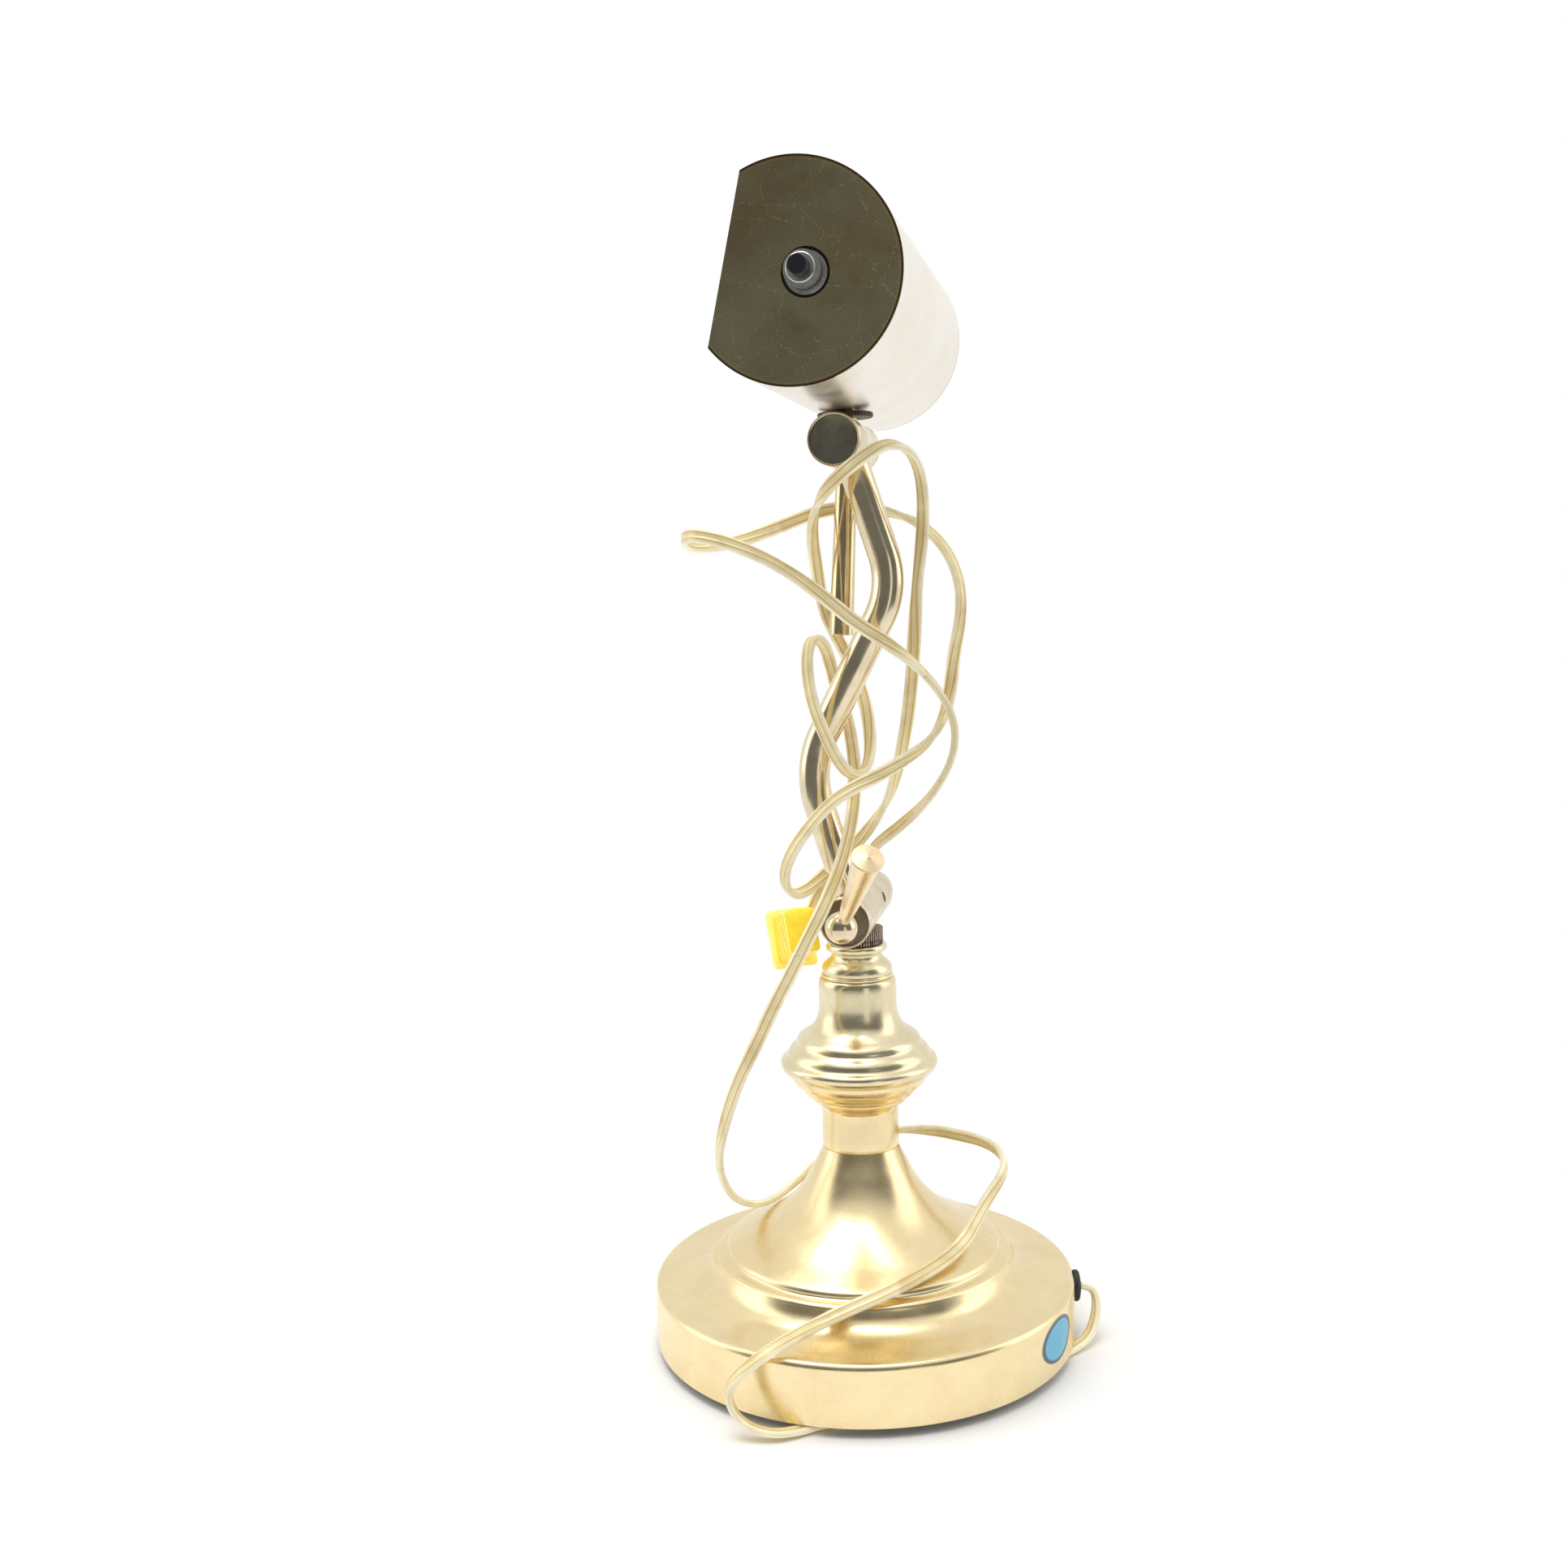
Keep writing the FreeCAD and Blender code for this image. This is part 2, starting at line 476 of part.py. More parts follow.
# switch bush with two steps and a fine thread, its nut behind the cap, and the turn shaft
keep("switch_bush", lathe("switch_bush", [(3.4, 0), (4.9, 0), (5.2, 0.3), (5.2, 3.4), (6.7, 3.4), (6.7, 10.4), (7.6, 10.4),
                                          (7.6, 12.4), (3.4, 12.4)],
                          at=(sx, -101.6, sz), rot=ALONG_Y))
keep("switch_shaft", rod("switch_shaft_rod", 3.33, 22.0, (sx, -107.6, sz), (0, 1, 0)))
keep("lamp_socket", lathe("lamp_socket", [(0, 4), (3.4, 4), (3.4, 0), (13.0, 0), (15.6, 2.4), (15.6, 44.0), (14.4, 44.6), (14.4, 20.0),
                                          (0, 20.0)],
                          at=(sx, -89.1, sz), rot=ALONG_Y))
keep("bulb_cap", lathe("bulb_cap", [(0, 0), (4.0, 0), (5.0, 1.6), (12.6, 4.2), (13.1, 5.2), (13.1, 24.6), (0, 24.6)],
                       at=(sx, -68.9, sz), rot=ALONG_Y))
keep("bulb_glass", lathe("bulb_glass", [(0, 0), (12.4, 0), (13.4, 4), (14.0, 8), (14.2, 14), (14.2, 98), (13.2, 104), (10.2, 109),
                                        (5.4, 112), (0, 113)],
                         at=(sx, -44.2, sz), rot=ALONG_Y))
nutp = doc.addObject("Part::Prism", "post_nut_hex")
nutp.Polygon = 6
dim("post_nut_circum", 7.6)
dim("post_nut_tall", 2.6)
nutp.setExpression("Circumradius", "Dims.post_nut_circum")
nutp.setExpression("Height", "Dims.post_nut_tall")
nutp.Placement = Placement(Vector(0, head_y, shade_z - shade_radius + shade_wall + 1.15), Rotation())
keep("post_nut", cut("post_nut_cut", nutp, rod("post_nut_bore", 5.05, 10, (0, head_y, shade_z - shade_radius - 2))))
# bracket that hangs the socket from the shade wall
keep("shade_strap", cut("shade_strap_cut", box("strap_block", (9.0, 20.0, 24.0), (sx - 4.5, -84.0, shade_z - shade_radius + 1.0)),
                        fuse("strap_tools", [rod("strap_round", 15.65, 40, (sx, -90, sz), (0, 1, 0)),
                                             cut("strap_under", rod("strap_under_block", 60, 30, (shade_x, -88, shade_z), (0, 1, 0)),
                                                 rod("strap_under_keep", shade_radius - shade_wall - 0.02, 30, (shade_x, -88, shade_z), (0, 1, 0))),
                                             box("strap_slot", (6.0, 24.0, 10.0), (sx - 3.0, -86.0, shade_z - shade_radius + 6.0))])))

# --- cord block start
# route of the supply cord from the grommet to the plug, corner points
CORD = [
    (91.0, 12.8, 21.6), (95.0, 13.3, 21.2), (97.5, 12.6, 18.5), (98.0, 10.8, 13.9), (97.1, 7.4, 8.2),
    (94.6, 2.5, 3.7), (89.2, -4.5, 1.9), (80.5, -15.0, 1.7), (68.0, -33.0, 1.7), (53.0, -50.0, 1.8),
    (34.0, -63.5, 1.7), (14.5, -74.5, 1.8), (-4.0, -82.1, 1.8), (-11.2, -88.9, 1.9), (-20.3, -94.7, 2.9),
    (-30.2, -95.2, 5.5), (-36.4, -94.7, 11.8), (-37.4, -93.6, 19.4), (-31.6, -93.9, 26.5),
    (-21.3, -88.5, 33.4), (-8.9, -71.4, 35.3), (6.1, -64.7, 41.2), (21.0, -57.0, 45.7), (35.2, -41.7, 49.0),
    (45.2, -27.6, 53.2), (49.3, -12.0, 57.5), (53.2, -2.0, 63.3), (59.2, 9.0, 70.1), (59.3, 18.0, 75.1),
    (51.8, 25.0, 78.4), (39.8, 29.0, 79.8), (26.4, 31.0, 81.1), (12.1, 30.0, 81.2), (-4.7, 30.0, 77.1),
    (-19.1, 28.0, 69.7), (-30.0, 22.0, 60.9), (-38.8, 14.0, 54.1), (-47.3, 3.0, 53.1), (-54.5, -7.0, 59.5),
    (-58.1, -14.0, 71.3), (-57.5, -20.0, 85.0), (-52.1, -27.0, 102.3), (-44.5, -33.0, 121.1),
    (-35.0, -38.0, 138.5), (-26.6, -42.0, 155.2), (-18.5, -44.0, 169.8), (-10.9, -44.0, 184.3),
    (-4.7, -41.0, 196.8), (0.1, -35.0, 210.0), (3.1, -28.0, 222.9), (3.9, -19.0, 236.4), (2.5, -9.0, 250.1),
    (-1.0, -2.0, 265.1), (-6.0, -0.5, 279.4), (-8.1, -6.0, 292.7), (-9.5, -11.0, 298.0), (-11.4, -15.5, 299.9),
    (-13.1, -19.5, 297.3), (-13.6, -22.5, 291.3), (-12.7, -25.2, 282.7), (-10.2, -27.5, 272.6),
    (-5.4, -28.5, 260.3), (-0.7, -26.8, 250.4), (2.9, -23.5, 245.5), (6.7, -19.0, 244.6), (9.1, -13.0, 248.8),
    (8.7, -4.5, 259.5), (5.5, 1.0, 274.1), (-0.6, 8.5, 286.5), (-7.0, 15.5, 297.1), (-12.1, 18.0, 305.9),
    (-14.3, 16.0, 315.9), (-14.5, 8.0, 327.7), (-14.3, -2.0, 340.8), (-10.9, -13.0, 350.7),
    (-3.8, -24.0, 358.2), (4.7, -31.0, 364.3), (13.4, -33.0, 369.9), (21.8, -28.0, 374.5),
    (28.6, -20.0, 372.3), (32.2, -15.0, 364.1), (32.9, -12.0, 351.6), (31.7, -10.0, 336.5),
    (29.2, -8.0, 319.3), (27.8, -7.0, 301.2), (26.3, -6.0, 282.6), (23.9, -5.0, 265.1), (20.4, -4.0, 248.4),
    (15.0, -1.0, 232.3), (7.2, 2.0, 220.7), (-1.5, 3.5, 211.5), (-7.7, -1.0, 205.3), (-13.7, -10.0, 199.7),
    (-18.7, -16.5, 196.0), (-22.2, -21.0, 195.8), (-24.0, -25.5, 199.5), (-23.7, -30.0, 206.3),
    (-19.7, -33.5, 215.5), (-13.0, -34.5, 224.8), (-4.5, -33.5, 234.4), (4.4, -31.5, 240.6),
    (14.2, -27.0, 244.9), (24.8, -21.0, 250.9), (34.0, -13.0, 257.2), (39.4, -5.0, 266.9), (41.3, 1.0, 279.6),
    (42.6, 3.0, 292.7), (45.5, 2.0, 305.7), (45.8, 1.0, 318.8), (41.6, 2.0, 331.2), (34.0, 4.0, 340.6),
    (24.4, 8.0, 346.9), (11.8, 14.0, 350.8), (-2.4, 18.0, 352.8), (-15.0, 17.0, 351.3), (-24.6, 8.0, 347.0),
    (-33.3, -3.0, 342.7), (-42.7, -14.0, 338.8), (-51.4, -24.0, 337.0), (-57.3, -33.0, 337.4),
    (-58.0, -41.0, 340.1), (-52.2, -49.0, 341.3), (-43.4, -51.0, 339.7), (-33.8, -49.0, 336.1),
    (-23.7, -45.0, 331.2), (-12.9, -41.0, 324.1), (-2.5, -36.5, 315.4), (8.0, -32.0, 305.9),
    (18.5, -27.0, 298.3), (28.6, -22.0, 289.9), (37.1, -17.0, 279.9), (43.3, -13.0, 268.2),
    (44.1, -10.0, 255.9), (39.6, -7.0, 243.7), (31.1, -4.0, 231.7), (19.8, -1.0, 221.5), (9.2, 1.0, 213.3),
    (4.0, 4.3, 207.0), (-2.9, 7.4, 203.8), (-9.6, 11.0, 200.4), (-15.0, 13.8, 195.6), (-18.6, 14.6, 189.6),
    (-20.6, 13.2, 184.4), (-21.7, 11.8, 180.6),
]
CORD_NODES = [
    ("cord_floor_run", 0, 13),
    ("cord_base_wrap", 13, 39),
    ("cord_rise", 39, 51),
    ("cord_small_loop", 51, 72),
    ("cord_right_strand", 72, 89),
    ("cord_left_loop", 89, 99),
    ("cord_right_loop", 99, 110),
    ("cord_back_strand", 110, 118),
    ("cord_front_strand", 118, 129),
    ("cord_plug_end", 129, 142),
]

# ------------------------------------------------------------------ plug
PA = Vector(0.42, -0.83, 0.36)
PA.normalize()
PX = Vector(0.884, 0.466, 0.047)
PX = PX - PA * PX.dot(PA)
PX.normalize()
PY = PA.cross(PX)
plug_at = Vector(-32.3, 19.0, 168.5)
plug_rot = Rotation(PX, PY, PA, "ZXY")


def plug_block(name, wide, tall, z0, z1):
    b = box(name, (wide, tall, z1 - z0), (0, 0, 0))
    b.Placement = Placement(plug_at + plug_rot.multVec(Vector(-wide / 2, -tall / 2, z0)), plug_rot)
    return b


grip = doc.addObject("Part::Wedge", "plug_grip_wedge")
for prop, v in (("Xmin", -7.6), ("Xmax", 7.6), ("Zmin", -10.6), ("Zmax", 10.6), ("X2min", -6.6), ("X2max", 6.6),
                ("Z2min", -9.4), ("Z2max", 9.4), ("Ymin", 0.0), ("Ymax", 19.0)):
    dim("plug_grip_" + prop, v)
    setattr(grip, prop, v)
    grip.setExpression(prop, "Dims.plug_grip_%s" % prop)
grip.Placement = Placement(plug_at + plug_rot.multVec(Vector(0, 0, 3.0)), Rotation(PX, PA, PX.cross(PA), "ZXY"))
plug_end = Vector(*CORD[-1])
into = plug_end - Vector(*CORD[-2])
into.normalize()
relief = rod("plug_relief", 2.6, 7.0, tuple(plug_end), tuple(into))
ribs = []
for k in range(4):
    b = box("plug_rib%d" % k, (12.4, 1.2, 5.0), (0, 0, 0))
    b.Placement = Placement(plug_at + plug_rot.multVec(Vector(-6.2, -5.1 + 3.0 * k, 17.4)), plug_rot)
    ribs.append(b)
keep("plug_body", cut("plug_body_cut", fuse("plug_sum", [plug_block("plug_flange", 19.6, 25.6, 0.0, 3.2), grip, relief] + ribs),
                      rod("plug_cord_way", 1.75, 9.0, tuple(plug_end), tuple(into * -1.0))))
blades = doc.addObject("Part::Compound", "plug_blades_pair")
blades.Links = [plug_block("plug_blade_left", 6.4, 1.5, -17.0, 0.0), plug_block("plug_blade_right", 6.4, 1.5, -17.0, 0.0)]
for b, s in zip(blades.Links, (-1, 1)):
    b.Placement = Placement(b.Placement.Base + PY * (6.35 * s), plug_rot)
keep("plug_blades", blades)

# ------------------------------------------------------------------ supply cord, one length in several nodes
def cord_piece(label, route_wire, first, last):
    """The stretch of the cord from the middle of run first to the middle of run last
    (or to the cord's own end)."""
    edges = []
    for k in range(first, last + 1):
        line = runs[k]
        a, b = line
        if k == first and first > 0:
            a = (a + b) * 0.5
        if k == last and last < len(runs) - 1:
            b = (line[0] + line[1]) * 0.5
        edges.append(Part.LineSegment(a, b).toShape())
        if k < last:
            edges.append(Part.Arc(*bends[k]).toShape())
    wire = Part.Wire(edges)
    r = cord_width / 2
    start = edges[0].Vertexes[0].Point
    along = edges[0].Vertexes[-1].Point - start
    ring = Part.Wire([Part.Circle(start, along, r).toShape()])
    shape = wire.makePipeShell([ring], True, False)
    solid = Part.Solid(shape) if shape.ShapeType != "Solid" else shape
    if solid.Volume < 0:
        solid.reverse()
    ratio = solid.Volume / (math.pi * r * r * wire.Length)
    print("%s: length %.1f, volume against section x length %.4f" % (label, wire.Length, ratio))
    if abs(ratio - 1) > 0.01:
        raise RuntimeError("%s: the tube's volume is off" % label)
    o = doc.addObject("Part::Feature", label + "_tube")
    o.Shape = solid
    keep(label, o)
    return wire.Length


pts = [Vector(*p) for p in CORD]
bends, runs, radii = [], [], []
last_point = pts[0]
for i in range(1, len(pts) - 1):
    u, v = pts[i] - pts[i - 1], pts[i + 1] - pts[i]
    lu, lv = u.Length, v.Length
    u, v = u * (1 / lu), v * (1 / lv)
    turn = math.acos(max(-1, min(1, u.dot(v))))
    R = 0.45 * min(lu, lv) / math.tan(turn / 2)
    reach = R * math.tan(turn / 2)
    a, b = pts[i] - u * reach, pts[i] + v * reach
    bis = v - u
    bis.normalize()
    middle = pts[i] + bis * (R / math.cos(turn / 2)) - bis * R
    bends.append((a, middle, b))
    runs.append((last_point, a))
    radii.append((R, math.degrees(turn)))
    last_point = b
runs.append((last_point, pts[-1]))
print("cord radii (mm @ turn deg):", " ".join("%.1f@%.0f" % r for r in radii))
total = 0.0
for label, first, last in CORD_NODES:
    total += cord_piece(label, None, first, last)
print("cord length outside the base %.1f" % total)

# ------------------------------------------------------------------ leads held inside
keep("lead_base", tube("lead_base", [tuple(Vector(*CORD[0]) - Vector(*gdir) * 0.05), radial(74.6), radial(74.6, 7.3), (0, 0, 7.3), (0, 0, 168.0)],
                       "lead_width", [6.5, 6.5, 3.5]))
keep("lead_arm", tube("lead_arm", [tuple(arm_foot + Vector(*lean_low) * 1.0), arm_pts[1], arm_pts[2],
                                   tuple(arm_head + Vector(*lean_high) * 1.0)], "lead_width", arm_bends))
keep("lead_head", tube("lead_head", [(0, head_y, 382.0), (0, head_y, 400.0), (1.6, -19.0, 401.0), (3.0, -40.0, 401.6),
                                     (3.2, -55.0, 405.0), (3.2, -55.0, 412.6)], "lead_width"))
# --- cord block end

# ------------------------------------------------------------------ recompute, test and write
doc.recompute()
bad = []
for o in doc.Objects:
    if "Invalid" in o.State or "Error" in o.State:
        bad.append((o.Name, o.State))
for label, o in nodes.items():
    s = o.Shape
    if s.isNull() or not s.isValid() or s.Volume <= 0 or len(s.Solids) < 1:
        bad.append((label, "null, not valid or empty"))
if bad:
    raise RuntimeError("failed: %s" % bad)
os.makedirs("parts", exist_ok=True)
for f in os.listdir("parts"):
    if f.endswith(".step") and f[:-5] not in nodes:
        os.remove(os.path.join("parts", f))
for label, o in nodes.items():
    o.Shape.exportStep("parts/%s.step" % label)
    print("%-24s %d solid(s), volume %.1f" % (label, len(o.Shape.Solids), o.Shape.Volume))
print(len(nodes), "nodes")
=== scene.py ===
import json
import math
import bpy
import bmesh
import numpy as np
from mathutils import Vector, Matrix
from mathutils.bvhtree import BVHTree


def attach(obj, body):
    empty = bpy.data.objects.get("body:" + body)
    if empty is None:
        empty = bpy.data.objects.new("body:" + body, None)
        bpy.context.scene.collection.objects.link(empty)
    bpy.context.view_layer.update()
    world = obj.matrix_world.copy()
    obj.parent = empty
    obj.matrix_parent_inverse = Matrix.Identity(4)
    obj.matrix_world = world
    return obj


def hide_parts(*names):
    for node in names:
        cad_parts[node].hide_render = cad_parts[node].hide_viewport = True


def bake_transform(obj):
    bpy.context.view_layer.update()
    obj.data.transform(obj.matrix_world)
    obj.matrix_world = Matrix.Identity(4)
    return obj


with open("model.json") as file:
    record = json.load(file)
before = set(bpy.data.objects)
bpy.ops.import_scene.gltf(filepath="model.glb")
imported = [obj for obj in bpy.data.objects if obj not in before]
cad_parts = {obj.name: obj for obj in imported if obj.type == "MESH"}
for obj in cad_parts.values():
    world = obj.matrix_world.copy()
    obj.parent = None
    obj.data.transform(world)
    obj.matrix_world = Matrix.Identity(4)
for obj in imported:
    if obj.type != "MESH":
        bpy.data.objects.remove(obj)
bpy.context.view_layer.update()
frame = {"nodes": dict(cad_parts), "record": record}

scene = bpy.context.scene
MM = 0.001

# ------------------------------------------------------------------ camera
cam_data = bpy.data.cameras.new("camera")
cam_data.lens = 37.68
cam_data.sensor_width = 36.0
cam_data.clip_start = 0.05
cam = bpy.data.objects.new("camera", cam_data)
scene.collection.objects.link(cam)
look = Vector((-0.20837, 0.97046, -0.12160)).normalized()
right = Vector((0.97805, 0.20651, -0.02779)).normalized()
up = right.cross(look).normalized()
turn = Matrix((right, up, -look)).transposed().to_4x4()
cam.matrix_world = Matrix.Translation(Vector((0.113697, -0.665153, 0.322))) @ turn
scene.camera = cam

# ------------------------------------------------------------------ the cord's route, corner points from the grommet to the plug
ROUTE = [
    (0.0910, 0.0128, 0.0216), (0.0950, 0.0133, 0.0212), (0.0975, 0.0126, 0.0185), (0.0980, 0.0108, 0.0139),
    (0.0971, 0.0074, 0.0082), (0.0946, 0.0025, 0.0037), (0.0892, -0.0045, 0.0019), (0.0805, -0.0150, 0.0017),
    (0.0680, -0.0330, 0.0017), (0.0530, -0.0500, 0.0018), (0.0340, -0.0635, 0.0017),
    (0.0145, -0.0745, 0.0018), (-0.0040, -0.0821, 0.0018), (-0.0112, -0.0889, 0.0019),
    (-0.0203, -0.0947, 0.0029), (-0.0302, -0.0952, 0.0055), (-0.0364, -0.0947, 0.0118),
    (-0.0374, -0.0936, 0.0194), (-0.0316, -0.0939, 0.0265), (-0.0213, -0.0885, 0.0334),
    (-0.0089, -0.0714, 0.0353), (0.0061, -0.0647, 0.0412), (0.0210, -0.0570, 0.0457),
    (0.0352, -0.0417, 0.0490), (0.0452, -0.0276, 0.0532), (0.0494, -0.0120, 0.0575),
    (0.0532, -0.0020, 0.0633), (0.0592, 0.0090, 0.0701), (0.0593, 0.0180, 0.0751), (0.0518, 0.0250, 0.0784),
    (0.0398, 0.0290, 0.0798), (0.0264, 0.0310, 0.0811), (0.0121, 0.0300, 0.0812), (-0.0047, 0.0300, 0.0771),
    (-0.0191, 0.0280, 0.0697), (-0.0300, 0.0220, 0.0609), (-0.0388, 0.0140, 0.0541),
    (-0.0473, 0.0030, 0.0531), (-0.0545, -0.0070, 0.0595), (-0.0581, -0.0140, 0.0713),
    (-0.0575, -0.0200, 0.0850), (-0.0521, -0.0270, 0.1023), (-0.0445, -0.0330, 0.1211),
    (-0.0350, -0.0380, 0.1385), (-0.0266, -0.0420, 0.1552), (-0.0185, -0.0440, 0.1698),
    (-0.0109, -0.0440, 0.1843), (-0.0047, -0.0410, 0.1968), (0.0001, -0.0350, 0.2100),
    (0.0031, -0.0280, 0.2229), (0.0039, -0.0190, 0.2364), (0.0025, -0.0090, 0.2501),
    (-0.0010, -0.0020, 0.2651), (-0.0060, -0.0005, 0.2794), (-0.0081, -0.0060, 0.2927),
    (-0.0095, -0.0110, 0.2980), (-0.0114, -0.0155, 0.2999), (-0.0131, -0.0195, 0.2973),
    (-0.0136, -0.0225, 0.2913), (-0.0127, -0.0252, 0.2828), (-0.0102, -0.0275, 0.2726),
    (-0.0054, -0.0285, 0.2603), (-0.0007, -0.0268, 0.2504), (0.0029, -0.0235, 0.2455),
    (0.0067, -0.0190, 0.2446), (0.0092, -0.0130, 0.2488), (0.0087, -0.0045, 0.2595),
    (0.0055, 0.0010, 0.2741), (-0.0006, 0.0085, 0.2865), (-0.0070, 0.0155, 0.2971),
    (-0.0121, 0.0180, 0.3059), (-0.0143, 0.0160, 0.3159), (-0.0145, 0.0080, 0.3277),
    (-0.0143, -0.0020, 0.3408), (-0.0109, -0.0130, 0.3507), (-0.0038, -0.0240, 0.3582),
    (0.0047, -0.0310, 0.3643), (0.0134, -0.0330, 0.3699), (0.0218, -0.0280, 0.3745),
    (0.0286, -0.0200, 0.3723), (0.0322, -0.0150, 0.3641), (0.0329, -0.0120, 0.3516),
    (0.0317, -0.0100, 0.3365), (0.0292, -0.0080, 0.3193), (0.0278, -0.0070, 0.3012),
    (0.0263, -0.0060, 0.2826), (0.0239, -0.0050, 0.2651), (0.0204, -0.0040, 0.2484),
    (0.0150, -0.0010, 0.2323), (0.0072, 0.0020, 0.2207), (-0.0015, 0.0035, 0.2115),
    (-0.0077, -0.0010, 0.2053), (-0.0137, -0.0100, 0.1997), (-0.0187, -0.0165, 0.1960),
    (-0.0222, -0.0210, 0.1958), (-0.0240, -0.0255, 0.1995), (-0.0237, -0.0300, 0.2063),
    (-0.0197, -0.0335, 0.2155), (-0.0130, -0.0345, 0.2248), (-0.0045, -0.0335, 0.2344),
    (0.0044, -0.0315, 0.2406), (0.0142, -0.0270, 0.2449), (0.0248, -0.0210, 0.2509),
    (0.0340, -0.0130, 0.2572), (0.0394, -0.0050, 0.2669), (0.0413, 0.0010, 0.2796), (0.0426, 0.0030, 0.2926),
    (0.0455, 0.0020, 0.3057), (0.0458, 0.0010, 0.3188), (0.0416, 0.0020, 0.3312), (0.0340, 0.0040, 0.3406),
    (0.0244, 0.0080, 0.3469), (0.0118, 0.0140, 0.3508), (-0.0024, 0.0180, 0.3528), (-0.0149, 0.0170, 0.3512),
    (-0.0246, 0.0080, 0.3470), (-0.0333, -0.0030, 0.3427), (-0.0427, -0.0140, 0.3388),
    (-0.0514, -0.0240, 0.3370), (-0.0573, -0.0330, 0.3374), (-0.0580, -0.0410, 0.3401),
    (-0.0522, -0.0490, 0.3413), (-0.0434, -0.0510, 0.3397), (-0.0338, -0.0490, 0.3361),
    (-0.0237, -0.0450, 0.3312), (-0.0129, -0.0410, 0.3241), (-0.0025, -0.0365, 0.3154),
    (0.0080, -0.0320, 0.3059), (0.0185, -0.0270, 0.2983), (0.0286, -0.0220, 0.2899),
    (0.0371, -0.0170, 0.2799), (0.0433, -0.0130, 0.2682), (0.0441, -0.0100, 0.2559),
    (0.0396, -0.0070, 0.2437), (0.0311, -0.0040, 0.2317), (0.0199, -0.0010, 0.2215),
    (0.0092, 0.0010, 0.2133), (0.0040, 0.0043, 0.2070), (-0.0029, 0.0074, 0.2038), (-0.0096, 0.0110, 0.2004),
    (-0.0150, 0.0138, 0.1956), (-0.0186, 0.0146, 0.1896), (-0.0206, 0.0132, 0.1844),
    (-0.0217, 0.0118, 0.1806),
]
CORD_W = 0.0056      # flat two-core cord: its width over both cores
CORD_R = 0.00145     # one core's radius


def route_line():
    """The cord's smooth line, read from a NURBS spline whose control points are the route's points."""
    c = bpy.data.curves.new("route", "CURVE")
    c.dimensions = "3D"
    s = c.splines.new("NURBS")
    s.points.add(len(ROUTE) - 1)
    for p, q in zip(s.points, ROUTE):
        p.co = (*q, 1.0)
    s.order_u = 3
    s.use_endpoint_u = True
    s.resolution_u = 12
    o = bpy.data.objects.new("route", c)
    scene.collection.objects.link(o)
    bpy.context.view_layer.update()
    m = bpy.data.meshes.new_from_object(o.evaluated_get(bpy.context.evaluated_depsgraph_get()))
    pts = np.array([v.co for v in m.vertices], float)
    bpy.data.objects.remove(o)
    bpy.data.curves.remove(c)
    bpy.data.meshes.remove(m)
    keep = np.r_[True, np.linalg.norm(np.diff(pts, axis=0), axis=1) > 1e-6]
    return pts[keep]


LINE = route_line()
RT = np.array(ROUTE)


def unit(v):
    return v / np.maximum(np.linalg.norm(v, axis=-1, keepdims=True), 1e-12)


TAN = unit(np.gradient(LINE, axis=0))
STEP = np.r_[0.0, np.cumsum(np.linalg.norm(np.diff(LINE, axis=0), axis=1))]


def transport():
    """A frame carried along the line without twist: two unit vectors across it at each point."""
    n = np.zeros_like(LINE)
    a = np.cross(TAN[0], [0, 0, 1.0])
    n[0] = a / np.linalg.norm(a)
    for i in range(1, len(LINE)):
        v = n[i - 1] - TAN[i] * (n[i - 1] @ TAN[i])
        n[i] = v / np.linalg.norm(v)
    return n, np.cross(TAN, n)


PN, PB = transport()
cord_nodes = set(frame["record"]["physics"]["cord_nodes"])
trees = []
for name, o in frame["nodes"].items():
    if name in cord_nodes and name != "plug_body":
        continue
    trees.append(BVHTree.FromPolygons([v.co for v in o.data.vertices], [tuple(p.vertices) for p in o.data.polygons]))


def nearest(p):
    best, where = 1.0, None
    for t in trees:
        q, _, _, d = t.find_nearest(Vector(p), 0.02)
        if q is not None and d < best:
            best, where = d, np.array(q)
    return best, where


def roll_angles():
    """Which way the flat cord's wide side faces along its line: it bends over its thin side, lies flat on what it
    touches, and turns smoothly in between."""
    goal = np.zeros(len(LINE), complex)
    for i in range(len(LINE)):
        def vote(wide, weight):
            wide = wide - TAN[i] * (wide @ TAN[i])
            k = np.linalg.norm(wide)
            if k > 1e-6:
                a = math.atan2(wide @ PB[i], wide @ PN[i])
                goal[i] += weight * min(k, 1.0) * complex(math.cos(2 * a), math.sin(2 * a))
        lo, hi = max(0, i - 3), min(len(LINE) - 1, i + 3)
        bend = (TAN[hi] - TAN[lo]) / max(STEP[hi] - STEP[lo], 1e-6)
        k = np.linalg.norm(bend)
        if k > 1e-3:
            vote(np.cross(TAN[i], bend / k), min(k / 45.0, 1.6))
        d, q = nearest(LINE[i])
        if d < 0.0062 and q is not None:
            vote(np.cross(TAN[i], unit(LINE[i] - q)), 7.0 * (1 - d / 0.0062) + 0.4)
        if LINE[i][2] < 0.004:
            vote(np.cross(TAN[i], np.array([0, 0, 1.0])), 6.0)
        vote(np.cross(TAN[i], np.array(look)), 0.16)
    even = np.arange(0.0, STEP[-1], 0.001)
    g = np.interp(even, STEP, goal.real) + 1j * np.interp(even, STEP, goal.imag)

    def blur(v, sigma):
        k = np.exp(-0.5 * (np.arange(-4 * sigma, 4 * sigma + 1) / sigma) ** 2)
        k /= k.sum()
        return np.convolve(np.pad(v, 4 * sigma, mode="edge"), k, mode="valid")

    z = blur(g, 5)
    z = z / np.maximum(abs(z), 1e-6)
    z = blur(z, 7)
    a = np.unwrap(np.angle(z)) / 2
    a = blur(a, 9)
    return np.interp(STEP, even, a)


